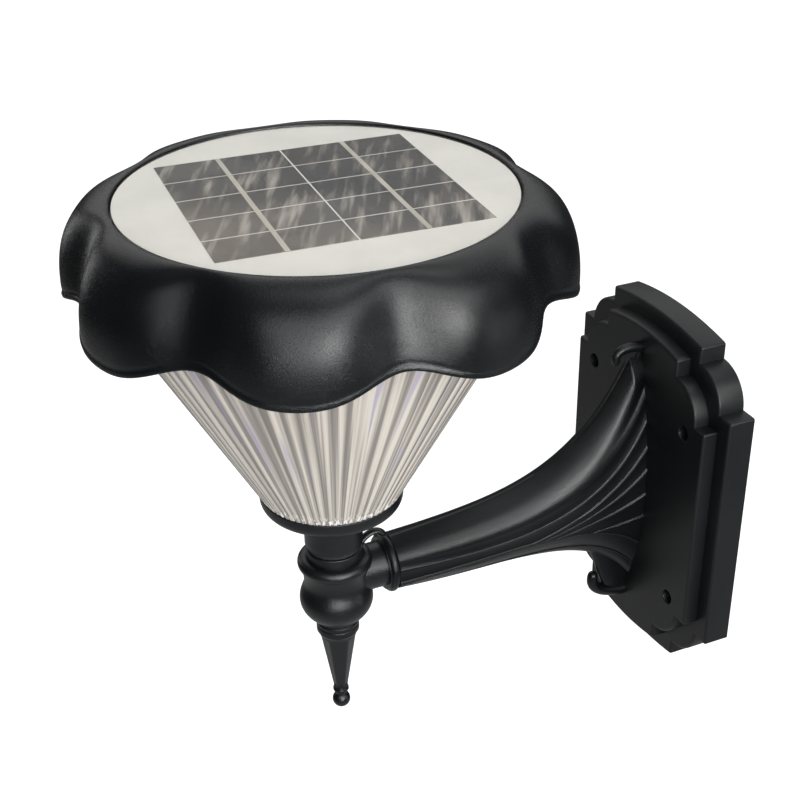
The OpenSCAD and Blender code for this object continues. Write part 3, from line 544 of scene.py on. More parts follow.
def make_lens():
    """Clear fluted plastic with painted light: each flute shows a painted pale and dark streak of
    refracted light, split by the angle round the cone, with its own brightness, a painted violet
    tinge, painted glints at the lens's foot and a faint painted glow."""
    look, head = settings().finish, settings().head
    m = finish("clear_fluted_lens")
    x, y, z, _ = m.on_head()
    turn = y.atan2(x) / (2 * math.pi) + 0.5
    along = (z - head.joint_z) / (head.lens_top_z - head.joint_z)
    wide = m.noise((turn * 55.0, along * 0.55, 0.0), 1.0, 2.0, 0.6)
    thin = m.noise((turn * 330.0, along * 0.8, 4.0), 1.0, 1.0)
    # Painted refracted light: each flute is painted paler in its middle and darker towards its
    # edges.
    across = ((turn * float(head.flutes)).fract() - 0.5).abs() * 2.0
    painted_streak = wide * 0.85 + thin * 0.75 + across * -0.32
    base = m.blend(painted_streak.between(0.42, 0.84), look.lens_dark, look.lens_pale)
    # A painted violet tinge of refracted light, in thin streaks.
    painted_violet = m.noise((turn * 170.0, along * 1.6, 9.0), 1.0, 0.0)
    painted_violet = painted_violet.between(0.62, 0.74) * along.between(0.2, 0.6) * 0.6
    base = m.blend(painted_violet, base, (0.30, 0.28, 0.47))
    # Painted glints: near-white spots of light painted at the lens's foot.
    painted_glint = m.noise((turn * 260.0, along * 30.0, 2.0), 1.0, 1.0)
    painted_glint = painted_glint.between(0.5, 0.62) * along.between(0.075, 0.012)
    base = m.blend(painted_glint, base, (0.97, 0.96, 0.93))
    # The emission is a painted glow in the lens's own painted colours.
    return m.surface(Base_Color=base, Roughness=0.12, IOR=1.49, Alpha=0.93, Coat_Weight=0.4,
                     Coat_Roughness=0.06, Specular_IOR_Level=0.6, Emission_Color=base,
                     Emission_Strength=0.10)


def make_panel_white():
    """The panel's white board under its clear coat, faintly mottled."""
    m = finish("panel_white")
    where = m.place()
    mottle = m.noise(where, 45.0, 3.0, 0.55)
    fine = m.noise(where, 900.0)
    white = settings().finish.panel_white
    return m.surface(
        Base_Color=m.blend(mottle.between(0.3, 0.7), shaded(white, 0.95), shaded(white, 1.05)),
        Roughness=0.34 + fine * 0.08, IOR=1.5, Coat_Weight=0.55, Coat_Roughness=0.12)


def make_cell():
    """A dark cell with fine pale fingers across it, clouded paler patches, a paler front corner and
    painted streaks of reflected light, all one way."""
    look = settings().finish
    m = finish("solar_cell")
    x, y, _, where = m.on_head()
    finger_pitch = 0.0021
    finger = ((y / finger_pitch).fract() - 0.5).abs().between(0.44, 0.485)
    cloud = m.noise(where, 26.0, 4.0, 0.6)
    grain = m.noise(where, 420.0, 2.0, 0.6)
    base = m.blend(cloud.between(0.42, 0.75), look.cell_dark, look.cell_brown)
    base = m.blend(grain.between(0.35, 0.8) * 0.25, base, (0.12, 0.12, 0.13))
    base = m.blend(finger * 0.16, base, (0.34, 0.34, 0.34))
    # Painted reflection: pale streaks and broad patches of glare, all one way, painted into the
    # cells' colour.
    s, c = math.sin(look.streak_turn), math.cos(look.streak_turn)
    side, along = x * s + y * c, y * s - x * c
    broad = m.noise((side, along, 0.0), 15.0)
    painted_streak = m.noise((side * 200.0, along * 24.0, 3.0), 1.0, 2.0, 0.55)
    haze_and_painted_glare = painted_streak.between(0.47, 0.76) * broad.between(0.28, 0.56) * 0.85
    haze_and_painted_glare = haze_and_painted_glare + broad.between(0.42, 0.7) * 0.16
    # A paler patch over the cells' front corner, broken up by the clouding.
    corner = (x * 0.6 - y * 0.7).between(0.0, 0.055) * (cloud.between(0.25, 0.6) * 0.6 + 0.4)
    base = m.blend(corner * 0.85, base, look.cell_dust)
    base = m.blend(haze_and_painted_glare, base, look.cell_streak)
    return m.surface(Base_Color=base, Roughness=0.26 + cloud * 0.12, IOR=1.5,
                     Specular_IOR_Level=0.04)


def make_ribbon():
    """Tinned ribbon with uneven solder."""
    m = finish("tinned_ribbon")
    where = m.place()
    lumps, broad = m.noise(where, 420.0), m.noise(where, 70.0)
    ribbon = settings().finish.ribbon
    return m.surface(Base_Color=m.blend(broad.between(0.3, 0.7), shaded(ribbon, 0.82), ribbon),
                     Roughness=0.38 + lumps * 0.12, Metallic=0.35,
                     Normal=m.bump(lumps, 0.35, 0.0002))


def make_cover():
    """The clear cover: mostly seen by its gloss."""
    m = finish("clear_cover")
    haze_and_painted_glare = m.noise(m.place(), 18.0, 3.0)
    return m.surface(Base_Color=(0.95, 0.94, 0.90), Roughness=0.07 + haze_and_painted_glare * 0.06, IOR=1.28,
                     Alpha=0.04)


def make_plain(name, base, rough, coat, metallic=0.0, scale=300.0):
    """A finish with slight mottling and a fine bump, for the small and inner pieces."""
    m = finish(name)
    where = m.place()
    cloud = m.noise(where, scale * 0.2, 3.0)
    fine = m.noise(where, scale * 4.0)
    return m.surface(
        Base_Color=m.blend(cloud.between(0.3, 0.7), shaded(base, 0.88), shaded(base, 1.12)),
        Roughness=rough + (cloud - 0.5) * 0.12, Metallic=metallic, Coat_Weight=coat,
        Normal=m.bump(fine, 0.15, 0.00008))


# Colour, roughness and coat of each plain finish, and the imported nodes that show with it
PLAIN = {
    "seal_rubber": ((0.012, 0.012, 0.013), 0.72, 0, ("neck_seal", "panel_adhesive")),
    "white_plastic": ((0.80, 0.80, 0.77), 0.28, 0.3, ("reflector_plate",)),
    "white_board": ((0.78, 0.78, 0.76), 0.34, 0.2, ("led_board",)),
    "phosphor": ((0.85, 0.66, 0.14), 0.42, 0, ("leds",)),
    "board_green": ((0.02, 0.15, 0.06), 0.3, 0.4, ("control_board",)),
    "component_black": ((0.02, 0.02, 0.022), 0.45, 0, ("board_parts", "switch_body")),
    "battery_wrap": ((0.03, 0.13, 0.36), 0.25, 0.5, ("battery",)),
    "button_red": ((0.30, 0.012, 0.012), 0.4, 0, ("switch_button",)),
    "lead_red": ((0.35, 0.015, 0.015), 0.5, 0, ("panel_leads", "battery_leads", "light_leads")),
}
STEEL_NODES = ("arm_screws", "stub_screw", "neck_washer", "neck_screw", "cup_screws",
               "tray_screws", "plate_screws", "led_board_screws", "board_screws",
               "battery_contacts")
TRAY_NODES = ("cap_tray", "battery_holder")


# Pieces

def tier_outline(p, width, side, shoulder, up, inset):
    """The outline of a tier, anticlockwise from its upper right corner: a straight side, a
    quarter-round shoulder, a short step and an arch top + rise (1 - (1 - u)^2)."""
    top = side / 2 + p.shoulder_r + p.arch_step + up - inset
    a, h, c = width / 2 - inset, side / 2 - inset, p.corner_r
    b = a - shoulder - p.shoulder_r
    u = np.linspace(0.03, 1, 20)[:-1]
    arch = np.stack([b * (1 - u), top + p.arch_rise * (1 - (1 - u) ** 2)], -1)
    quarter = joined(arc((a - c, h - c), c, 0, 90, 6), arc((b, h), p.shoulder_r, 0, 90, 22),
                     arc((b - c, top - c * 0.9), c, 0, 78, 6), arch)
    apex = top + p.arch_rise
    return np.concatenate([quarter, [(0, apex)], quarter[::-1] * (-1, 1),
                           -quarter, [(0, -apex)], quarter[::-1] * (1, -1)])


def tier_rings(outline, profile):
    """A profile of (inset, height) points carried round an outline."""
    return np.stack([np.column_stack([outline(inset), np.full(len(outline(0)), height)])
                     for inset, height in profile])


def faced_tier(outline, profile, holes, hole_r, count=40):
    """A plate with round holes: the profile of (inset, height) points runs from the rim of
    its face to the rim of its back, and both faces are triangles between rim and holes."""
    rings = tier_rings(outline, profile)
    rows, columns = rings.shape[:2]
    face_z, back_z, soft = profile[0][1], profile[-1][1], 0.4
    radii = hole_r + soft * np.array([[2], [1], [0.3], [0], [0]])
    levels = np.array([[face_z], [face_z], [face_z - 0.3 * soft], [face_z - soft], [back_z]])
    # rows run outwards round the rim, and inwards round a hole
    points, faces = [rings.reshape(-1, 3)], [grid_faces(rows, columns)[:, ::-1]]
    offset, rim = rows * columns, np.arange(columns)
    face_loops, back_loops = [rim], [rim + offset - columns]
    for x, y in holes:
        wall = circles(radii, levels, turns(count)) + (x, y, 0)
        points.append(wall.reshape(-1, 3))
        faces.append(grid_faces(len(radii), count) + offset)
        face_loops.append(np.arange(count) + offset)
        offset += len(radii) * count
        back_loops.append(np.arange(count) + offset - count)
    points = np.concatenate(points)
    for loops, down in ((face_loops, False), (back_loops, True)):
        # the loops are cut into triangles in metres
        corners = tessellate_polygon([[Vector(points[i] * MM) for i in loop] for loop in loops])
        triangles = np.concatenate(loops)[np.array(corners)]
        a, b, c = (points[triangles[:, k]] for k in range(3))
        wrong = (np.cross(b - a, c - a)[:, 2] > 0) == down
        triangles[wrong] = triangles[wrong][:, ::-1]
        faces.append(triangles)
    return points, faces


class WALL_LIGHT_OT_plate(Operator):
    """Add the two-tier wall plate, hollow and ribbed behind"""
    bl_idname = "wall_light.plate"
    bl_label = "Wall Plate"

    def execute(self, context):
        p = Sizes("plate")
        t1, t2, w, r = p.back_t, p.back_t + p.front_t, p.wall, p.edge_r
        pocket, lap, ledge_w = t2 - w, 0.4, 11
        turn = [(r - r * math.cos(a), r * math.sin(a) - r)
                for a in np.radians([0, 22, 45, 68, 90])]

        def back(inset):
            return tier_outline(p, p.width, p.side, p.back_shoulder, 0, inset)

        def front(inset):
            return tier_outline(p, p.front_width, p.front_side, p.front_shoulder, p.front_up,
                                inset)

        band = [(0, 0), (0, t1 - r), *((d, t1 + h) for d, h in turn[1:]), (r + lap, t1),
                (ledge_w, t1), (ledge_w, t1 - w), (w, t1 - w), (w, 0)]
        face = [(r + lap, t2), *((d, t2 + h) for d, h in reversed(turn)), (0, t1 - w),
                (w, t1 - w), (w, pocket), (w + lap, pocket)]
        holes = [(x * p.pitch_x / 2, z * p.pitch_z / 2) for x in (-1, 1) for z in (-1, 1)]
        hole_r = p.hole_d / 2
        shells = [closed_ring(tier_rings(back, band)), faced_tier(front, face, holes, hole_r)]
        # tubes and ribs run a little way into the face
        rib, rib_low, up = 1, 1.5, pocket + 0.2
        tube = revolved([(hole_r, 0), (hole_r + w, 0), (hole_r + w, up), (hole_r, up)], 48, True)
        shells += [moved(tube, (*hole, 0)) for hole in holes]
        half_h = p.front_side / 2 + p.shoulder_r + p.arch_step - w / 2
        half_w, near, far = p.front_width / 2 - w / 2, p.pitch_x / 2, hole_r + rib
        spans = ((-half_w, -near - far), (far - near, near - far), (near + far, half_w))
        for side in (-1, 1):
            x, z = side * p.pitch_x / 4, side * p.pitch_z / 2
            shells.append(block((x - rib, -half_h, rib_low), (x + rib, half_h, up)))
            shells += [block((a, z - rib, rib_low), (b, z + rib, up)) for a, b in spans]
        shells = [tipped(shell, -1) for shell in shells]
        return add_piece("wall_plate_moulding", shells, satin_black("plate_black"), "bracket",
                         40, ("wall_plate",))


# The lengthwise lines of the arm: the heights of the crown's start, handles and end, and then
# for each line from the spine's edge down its half width at the ring, its four heights, and
# how far the surface below it bulges out of the chord to the next line
ARM_CROWN = (2.7, 8.5, 9, 80.7)
ARM_LINES = np.array([
    [10.7, -2, -4.4, 0.6, 50.1, -0.4],
    [12.4, -8.6, -12.3, -8.1, 36, -0.35],
    [12.8, -15.4, -20.9, -11.1, 23, -0.35],
    [12.7, -16, -19.3, -13.3, 11.4, -0.35],
    [12.6, -16, -19.3, -13.9, -1.7, -0.35],
    [12.5, -16, -19.7, -18, -14.5, -0.35],
    [12.2, -17, -17.2, -7, -31, 0.5],
    [7.8, -20.4, -26, -14, -46, 0.6],
    [2.8, -22, -29.5, -19, -54, 0]])
RIDGE_FIRST, RIDGE_LAST = 1, 6


def arm_surface(stations=150):
    """The arm's closed surface. Each lengthwise line is a cubic in height, and its half width
    goes with the sine, or lower down the square, of the way along. The spine is a cubic from
    the crown down to the first line, with a rounded edge there; between two further lines the
    section is their chord moved square to itself by bulge 4 s (1 - s), with a bead on each
    ridge."""
    arm, plate = Sizes("arm"), Sizes("plate")
    y0, y1 = 4.5 + arm.ring_out - arm.reach, -plate.back_t - plate.front_t
    span = y1 - y0
    y = cubic(y0, y0 + 0.473 * span, y1 - 0.204 * span, y1, stations)
    widths, heights, bulges = ARM_LINES[:, :1], ARM_LINES[:, 1:5], ARM_LINES[:, 5]
    z = cubic(*heights.T, stations).T
    # ridges keep apart by ridge_gap, and the upper lines stop one below another at the tip
    ridge_gap, tip_gap = 0.45, 0.6
    order = np.arange(len(ARM_LINES))[:, None]
    low = z[RIDGE_LAST] + (RIDGE_LAST - order) * ridge_gap
    z = np.where((order > RIDGE_FIRST) & (order < RIDGE_LAST), np.maximum(z, low), z)
    tip = arm.tip - tip_gap * (order + 2)
    z = np.where(order <= RIDGE_FIRST, np.minimum(z, tip), z)
    # down to the last ridge the half width goes to the foot's outline at the line's own height
    u = (y - y0) / span
    upper = order < RIDGE_LAST
    middle, foot_up, foot_down = -3, 75, 62
    at = np.where(upper, z, np.minimum(heights[:, 3:], tip)) - middle
    foot = arm.foot_w * (1 - (at / np.where(at > 0, foot_up, foot_down)) ** 2)
    x = widths + (foot - widths) * np.where(upper, np.sin(math.pi / 2 * u), u ** 2)
    lines = np.stack([x, z], -1)
    side = lines[1] - lines[0]
    side /= np.linalg.norm(side, axis=1, keepdims=True)
    crown = np.minimum(cubic(*ARM_CROWN, stations), arm.tip)
    top = np.stack([0 * u, crown + 0.35], -1)
    fall = lines[0] - top
    size = np.linalg.norm(fall, axis=1)[:, None]
    chord = np.arctan2(-fall[:, 1], fall[:, 0])
    slope = np.minimum(1.4 * chord, np.arctan2(-side[:, 1], side[:, 0]) - math.radians(10))
    way = np.stack([np.cos(slope), -np.sin(slope)], -1)
    lean = np.stack([np.cos(0.6 * chord), -np.sin(0.6 * chord)], -1)
    edge_w = np.minimum(2.6, 0.25 * size)
    near = lines[0] - way * edge_w
    spine = cubic(top, top + lean * size * 0.5, near - way * size * 0.2, near, 17)[:-1]
    s = np.linspace(0, 1, 7)[:-1, None, None]
    edge = near * (1 - s) ** 2 + 2 * lines[0] * s * (1 - s) + (lines[0] + side * edge_w) * s ** 2
    runs = [np.moveaxis(spine, 0, 1), np.moveaxis(edge, 0, 1)]
    s = np.array([0, 0.03, 0.06, 0.095, 0.15, 0.26, 0.4, 0.5, 0.6, 0.74, 0.85, 0.905, 0.94, 0.97])
    bead_h, bead_w, fade_w = 0.5, 0.045, 6
    for k in range(len(lines) - 1):
        start = lines[k] + side * edge_w if k == 0 else lines[k]
        chord = lines[k + 1] - start
        size = np.linalg.norm(chord, axis=1)[:, None]
        square = np.stack([-chord[:, 1], chord[:, 0]], -1) / np.maximum(size, 1e-6)
        bead = bead_h * (np.exp(-(s / bead_w) ** 2) * (k >= RIDGE_FIRST)
                         + np.exp(-((1 - s) / bead_w) ** 2) * (k < RIDGE_LAST))
        out = np.minimum(1, size / fade_w) * (bulges[k] * 4 * s * (1 - s) + bead)
        runs.append(start[:, None] + chord[:, None] * s[None, :, None]
                    + square[:, None] * out[..., None])
    half = np.concatenate([*runs, lines[-1][:, None]], 1)
    keel = np.stack([0 * u, z[-1] - 0.5], -1)[:, None]
    section = np.concatenate([half, keel, half[:, :0:-1] * (-1, 1)], 1)
    y = np.broadcast_to(y[:, None, None], (*section.shape[:2], 1))
    return closed_stack(np.concatenate([section[..., :1], y, section[..., 1:]], -1))


class WALL_LIGHT_OT_arm(Operator):
    """Add the fluted bracket arm with its ring"""
    bl_idname = "wall_light.arm"
    bl_label = "Bracket Arm"

    def execute(self, context):
        arm = Sizes("arm")
        w, r, round_r = arm.ring_w, arm.ring_r, arm.ring_w * 0.42
        core, inner = w + 5, 6
        bulge = arc((w / 2, r - round_r), round_r, 160, 20, 18)
        profile = joined([(0, r - 2.2), (0, r - 1.6)], bulge,
                         [(w, r - 1.6), (core, r - 2.4), (core, inner), (0, inner)])
        ring = tipped(revolved(profile[:, ::-1], 96, True))
        ring = moved(ring, (0, arm.ring_out - arm.reach, arm.height))
        return add_piece("fluted_arm", [arm_surface(), ring], satin_black("arm_black"),
                         "bracket", 50, ("bracket_arm",))


def web(edge, heights, y, half):
    """A rib between a free edge of (y, z) points and the plate, rounded along the edge: the
    section is flat sides closed by a half circle of the given radius."""
    edge = np.asarray(edge, float)
    count = len(edge)
    back = np.column_stack([np.full(count, y), np.linspace(*heights, count)])
    a = np.radians(np.linspace(-90, 90, 9))
    way = edge - back
    way /= np.linalg.norm(way, axis=1, keepdims=True)
    nose = edge[:, None] + way[:, None] * (half * (np.cos(a) - 1))[None, :, None]
    x = np.broadcast_to(half * np.sin(a), nose.shape[:2])
    front = np.concatenate([x[..., None], nose], -1)
    behind = np.stack([np.column_stack([np.full(count, s * half), back]) for s in (1, -1)], 1)
    return closed_stack(np.concatenate([front, behind], 1))


class WALL_LIGHT_OT_scrolls(Operator):
    """Add the two scrolls that join the arm to the plate"""
    bl_idname = "wall_light.scrolls"
    bl_label = "Scrolls"

    def execute(self, context):
        arm, plate = Sizes("arm"), Sizes("plate")
        y, r = -plate.back_t - plate.front_t, arm.scroll_r
        top = cubic((y, 71.4), (y - 7, 72.6), (y - 13.5, 72.2), (y - 12.8, 66.6), 30)
        low = cubic((y, -66.3), (y - 8, -66), (y - 19.5, -63), (y - 17.6, -54), 34)
        edge = cubic((y - 23.5, -34), (y - 17, -42), (y - 17.5, -49), (y - 12, -60), 24)
        top_edge = [(y - 3.4, 62), (y - 3.0, 65.5), (y - 2.2, 69), (y - 2.6, 71)]
        shells = [swept(top, r * np.linspace(0.8, 0.64, 30), 8),
                  swept(low, r * np.linspace(1.08, 0.82, 34), 8),
                  web(edge, (-30, -66), y, 2), web(top_edge, (60, 72), y, 1.4)]
        return add_piece("arm_scrolls", shells, satin_black("arm_black"), "bracket",
                         50)


class WALL_LIGHT_OT_socket(Operator):
    """Add the turned socket with its side stub and leaf"""
    bl_idname = "wall_light.socket"
    bl_label = "Socket"

    def execute(self, context):
        s, arm = Sizes("socket"), Sizes("arm")
        top, floor, soft, collar = s.top_z, -4, 0.5, s.collar_r
        roll, roll_z = s.step_r + 0.8, -1.5
        waist, waist_z, belly, belly_z = s.waist_r, -11, s.belly_r, -21.5
        under_roll = (roll + s.roll_r * 0.67, roll_z - s.roll_r * 0.74)
        profile = joined(
            [(0, floor), (s.bore_r, floor), (s.bore_r, top - 0.4), (s.bore_r + 0.4, top)],
            arc((s.step_r - soft, top - soft), soft, 90, 0, 5),
            arc((roll, roll_z), s.roll_r, 104, -48, 26),
            cubic(under_roll, (waist + 0.4, -6.5), (waist, -8.5), (waist, waist_z), 14),
            cubic((waist, waist_z), (waist, -15), (belly, -17), (belly, belly_z), 18),
            cubic((belly, belly_z), (belly, -27), (12.4, -30.4), (collar, -33.2), 20),
            [(collar - 0.6, -33.8), (collar - 0.6, -34.4), (collar, -34.9),
             (collar, s.low_z + 0.3), (collar - 0.3, s.low_z), (0, s.low_z)])
        start, end = 6, arm.ring_out + 1.9
        stub = revolved([(0, start), (s.stub_r, start), (s.stub_r, end), (0, end)], 96)
        stub = moved(tipped(stub), (0, 0, arm.height))
        y0, y1 = s.step_r - 0.6, 23.2
        path = cubic((y0, 3.6), (y0 + 3.5, 8.2), (y1 - 2.5, 9.4), (y1, 5.9), 26)
        leaf = swept(path, 1.5 - 0.2 * np.sin(np.linspace(0, np.pi, 26)), 5, 24, 1.5)
        shells = [on_axis(x) for x in (revolved(profile), stub, leaf)]
        return add_piece("turned_socket", shells, satin_black("turned_black"), "bracket",
                         35, ("socket",))


class WALL_LIGHT_OT_finial(Operator):
    """Add the finial with its six-sided spike and ball"""
    bl_idname = "wall_light.finial"
    bl_label = "Finial"

    def execute(self, context):
        s = Sizes("socket")
        z, c, soft, sink = s.low_z, s.collar_r, 0.5, 0.5
        spike_z = z - 6.2
        low = spike_z - s.spike
        collar = revolved(joined(
            [(0, z), (c - 0.5, z)], arc((c - 0.4, z - soft), soft, 90, 0, 5), [(c + 0.1, z - 3)],
            cubic((c + 0.1, z - 3), (c - 0.5, z - 3.6), (c - 1.1, z - 4.4), (8.4, spike_z), 8),
            [(0, spike_z)]))
        # six flat sides cos 30 / cos a, with their edges taken down a little
        a, sixth = turns(96), np.pi / 3
        off = (a - s.spike_turn) % sixth - sixth / 2
        edge = np.exp(-(off ** 2 - (sixth / 2) ** 2) ** 2 / 0.0012)
        level = np.linspace(0, 1, 24)[:, None]
        r = s.spike_r + (s.tip_r - s.spike_r) * level
        r = r * (np.cos(sixth / 2) / np.cos(off) - 0.035 * edge)
        spike = closed_stack(circles(r, spike_z + sink - (s.spike + sink) * level, a))
        foot = joined([(0, low + sink), (3.3, low + sink), (3.3, low - 1.6), (3.7, low - 2.1),
                       (3.7, low - 3), (2.7, low - 3.8)],
                      arc((0, low - 9), s.ball_r, 52, -90, 24))
        foot[-1, 0] = 0
        shells = [on_axis(x) for x in (collar, spike, revolved(foot, 64))]
        return add_piece("spike_finial", shells, satin_black("turned_black"), "bracket",
                         40, ("finial",))


class WALL_LIGHT_OT_cup(Operator):
    """Add the neck and flared cup that hold the lens"""
    bl_idname = "wall_light.cup"
    bl_label = "Neck Cup"

    def execute(self, context):
        h = Sizes("head")
        j, c, n, s = h.joint_z, h.cup_r, h.neck_r, h.spigot_r
        low, neck_z, flare_z, soft = -3.6, 8.7, j - 17.8, 0.4
        profile = joined(
            [(0, low), (s - soft, low), (s, low + soft), (s, neck_z), (n - 0.4, neck_z)],
            arc((n - 0.5, neck_z + 0.5), 0.5, -80, 0, 5), [(n, 12)],
            cubic((n, flare_z), (15.2, flare_z + 14.2), (c + 0.4, j - 12.7), (c, j - 2), 40),
            [(c, j - soft)], arc((c - soft, j - soft), soft, 10, 90, 5),
            [(c - 3.1, j), (c - 3.1, j - 4.5), (0, j - 4.5)])
        return add_piece("flared_cup", [on_head(revolved(profile, 160))],
                         satin_black("turned_black"), "head", 35, ("neck_cup",))


class WALL_LIGHT_OT_lens(Operator):
    """Add the fluted lens"""
    bl_idname = "wall_light.lens"
    bl_label = "Lens"

    def execute(self, context):
        h = Sizes("head")
        j, foot_r, rise = h.joint_z, h.cup_r - 0.3, h.lens_top_z - h.joint_z
        floor_z, low_z = j - 2.3, j - 4.5
        well_r, plug_r = h.cup_r - 5.2, h.cup_r - 3.2
        a = turns(h.flutes * 8)[None, :]
        hollow = 1 - np.abs(np.cos(a * h.flutes / 2))
        level = np.concatenate([np.linspace(0, 0.06, 5)[:-1], np.linspace(0.06, 1, 20)])[:, None]
        inside = np.linspace(1, 0.018, 12)[:, None]
        r, r_in = (foot_r + h.lens_slope * rise * v for v in (level, inside))
        points = ring_stack(
            a, (plug_r, low_z), (plug_r, j - 0.01),
            (r * (1 - h.flute / foot_r * hollow), j + rise * level),
            (r_in - h.lens_wall, j + rise * inside), (well_r, j + 1.8), (well_r, floor_z))
        shell = closed_stack(points, (0, 0, low_z), (0, 0, floor_z))
        flange_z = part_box("cap_tray")[1].z / MM
        flange_up, flange_r = flange_z + 2.5, h.cap_r - 6.7
        flange_in = foot_r + h.lens_slope * rise - h.lens_wall
        flange = revolved([(flange_in, flange_z), (flange_r, flange_z), (flange_r, flange_up),
                           (flange_in, flange_up)], 192, True)
        return add_piece("fluted_lens", [on_head(shell), on_head(flange)], make_lens(),
                         "head", 60, ("lens",))


def lobe_wave(a, k, lobes):
    """c - k (1 - c^2) with c = cos(lobes a): +1 in a valley, -1 at the middle of a lobe."""
    c = np.cos(lobes * a)
    return c - k * (1 - c * c)


class WALL_LIGHT_OT_cap(Operator):
    """Add the scalloped cap"""
    bl_idname = "wall_light.cap"
    bl_label = "Cap"

    def execute(self, context):
        h = Sizes("head")
        top, lip, ledge_r, ledge_z = h.cap_top_z, h.panel_r + h.panel_gap, h.panel_r - 9, 3.8
        a = turns(56 * h.lobes)[None, :]
        edge = h.cap_low_z + h.lobe_drop * lobe_wave(a, 0.17, h.lobes)
        lobed = (1 - lobe_wave(a, 0.5, h.lobes)) / 2

        def skirt(v):
            """Radius at share v of the way down: the valley's curve, or the lobe's."""
            rim = h.rim_w * (1 - (1 - v) ** 10) ** 0.5
            inner = h.cap_r - h.lobe_depth - lip - h.rim_w
            valley = rim + inner * (1 - (1 - v) ** 1.25)
            lobe = (h.cap_r + h.lobe_depth - lip) * (1 - (1 - v) ** 2.6) ** 0.5
            return lip + valley + (lobe - valley) * lobed + 0.8 * (1 - v) - 0.35 * v

        v = 0.004 + 0.991 * np.linspace(0, 1, 60)[:, None] ** 1.6
        up = (top - edge) * (1 - v)
        # a bead just above the edge, and a groove over it
        bead = (0.3 * np.exp(-((up - 1.1) / 0.8) ** 2) - 0.22 * np.exp(-((up - 2.9) / 0.6) ** 2))
        v_in = np.linspace(0.985, 0.17, 16)[:, None]
        inner_r = np.maximum(lip - 1, skirt(v_in) - h.cap_wall)
        low_r = skirt(1.0)
        points = ring_stack(
            a, (lip, top - ledge_z), (lip, top - 1.0), (lip + 0.12, top - 0.62),
            (lip + 0.36, top - 0.32), (lip + 0.75, top - 0.12), (skirt(v) + bead, edge + up),
            (low_r - 0.12, edge + 0.12), (low_r - 0.5, edge), (low_r - h.cap_wall + 0.4, edge),
            (inner_r, edge + (top - edge) * (1 - v_in)), (ledge_r, top - 6.2),
            (ledge_r, top - ledge_z))
        return add_piece("scalloped_cap", [on_head(closed_ring(points))],
                         satin_black("cap_black"), "head", 50, ("cap",))


class WALL_LIGHT_OT_panel(Operator):
    """Add the panel: white board, ten cells, ribbons and clear cover"""
    bl_idname = "wall_light.panel"
    bl_label = "Solar Panel"

    def execute(self, context):
        h = Sizes("head")
        low, z = (corner.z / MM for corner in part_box("panel_board"))
        r, t, l, w = h.panel_r, h.cell_t, h.cell_l, h.cell_w
        board = revolved([(0, low), (r, low), (r, z), (0, z)], 256)
        add_piece("panel_disc", [on_head(board)], make_panel_white(),
                  "head", 35, ("panel_board",))
        columns, rows = 2, 5
        half_l = (columns * (l + h.cell_gap) - h.cell_gap) / 2
        half_w = (rows * (w + h.row_gap) - h.row_gap) / 2
        corners = [(j * (w + h.row_gap) - half_w, i * (l + h.cell_gap) - half_l)
                   for i in range(columns) for j in range(rows)]
        cells = [on_head(block((x, y, z), (x + w, y + l, z + t))) for x, y in corners]
        add_piece("solar_cell_set", cells, make_cell(), "head", 35,
                  ("solar_cells",))
        # a ribbon's top is a shallow arch, and solder makes its width and height uneven
        x, c = np.linspace(-half_w, half_w, 90)[:, None], np.linspace(-1, 1, 7)
        lump = 0.03 * np.sin(x * 2.6) * np.sin(x * 0.91 + 1)
        across = (h.ribbon_w / 2 + lump) * c
        arch = z + t + (0.10 + lump * 0.5) * (1 - 0.35 * c ** 2)
        upper = np.stack([x + 0 * c, across, arch], -1)
        under = upper[:, ::-1].copy()
        under[..., 2] = z + t
        ribbon = closed_stack(np.concatenate([upper, under], 1))
        ribbons = [on_head(moved(ribbon, (0, side * (l + h.cell_gap) / 2, 0))) for side in (-1, 1)]
        add_piece("tinned_ribbons", ribbons, make_ribbon(), "head", 35,
                  ("cell_ribbons",))
        top, soft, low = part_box("panel_cover")[1].z / MM, 0.25, z + 0.36
        cover = revolved(joined([(0, low), (r - soft, low), (r, low + 0.04)],
                                arc((r - soft, top - soft), soft, 0, 90, 5), [(0, top)]), 256)
        return add_piece("clear_cover", [on_head(cover)], make_cover(), "head",
                         35, ("panel_cover",))


class WALL_LIGHT_OT_works(Operator):
    """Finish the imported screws, boards, battery, tray and switch"""
    bl_idname = "wall_light.works"
    bl_label = "Screws and Works"

    def execute(self, context):
        steel = make_plain("plated_steel", settings().finish.steel, 0.3, 0, 1.0, 400.0)
        looks = [(steel, STEEL_NODES), (satin_black("tray_black"), TRAY_NODES)]
        looks += [(make_plain(name, *look), nodes) for name, (*look, nodes) in PLAIN.items()]
        for look, nodes in looks:
            for slot in (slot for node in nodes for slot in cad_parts[node].material_slots):
                slot.material = look
        return {"FINISHED"}


# Azimuth and elevation in degrees from the lamp's head, distance, width, height, power and tilt
# in degrees of each light
SOFTBOXES = {
    "window": (-2, 8, 1.2, 0.84, 0.22, 11.5, 10),
    "window_top": (2, 35, 1.5, 2.7, 0.76, 20, 0),
    "right": (50, -7, 1.2, 0.22, 0.28, 0.75, 0),
    "window_end": (-28, -1, 1.2, 0.12, 0.14, 1.3, 0),
    "ceiling": (75, 75, 1.5, 0.9, 0.9, 4, 0),
    "behind": (143, 35, 2.0, 4.6, 1.4, 19, 0),
    "behind_left": (-155, 2, 2.0, 0.35, 0.9, 1.8, 0),
    "overhead": (0, 89, 1.5, 1.5, 1.5, 1.2, 0),
}
# Strength of the dome by height, from straight down 0 to near its top
SKY = ((0.0, 0.45), (0.27, 0.32), (0.32, 0.06), (0.5, 0.045), (0.75, 0.05), (0.94, 0.1),
       (0.98, 0.45))
WHITE = (1.0, 1.0, 1.0, 1.0)
HEAD_Z, FLOOR_HALF, SENSOR_W, PICTURE_W = 0.12, 12.0, 36.0, 800


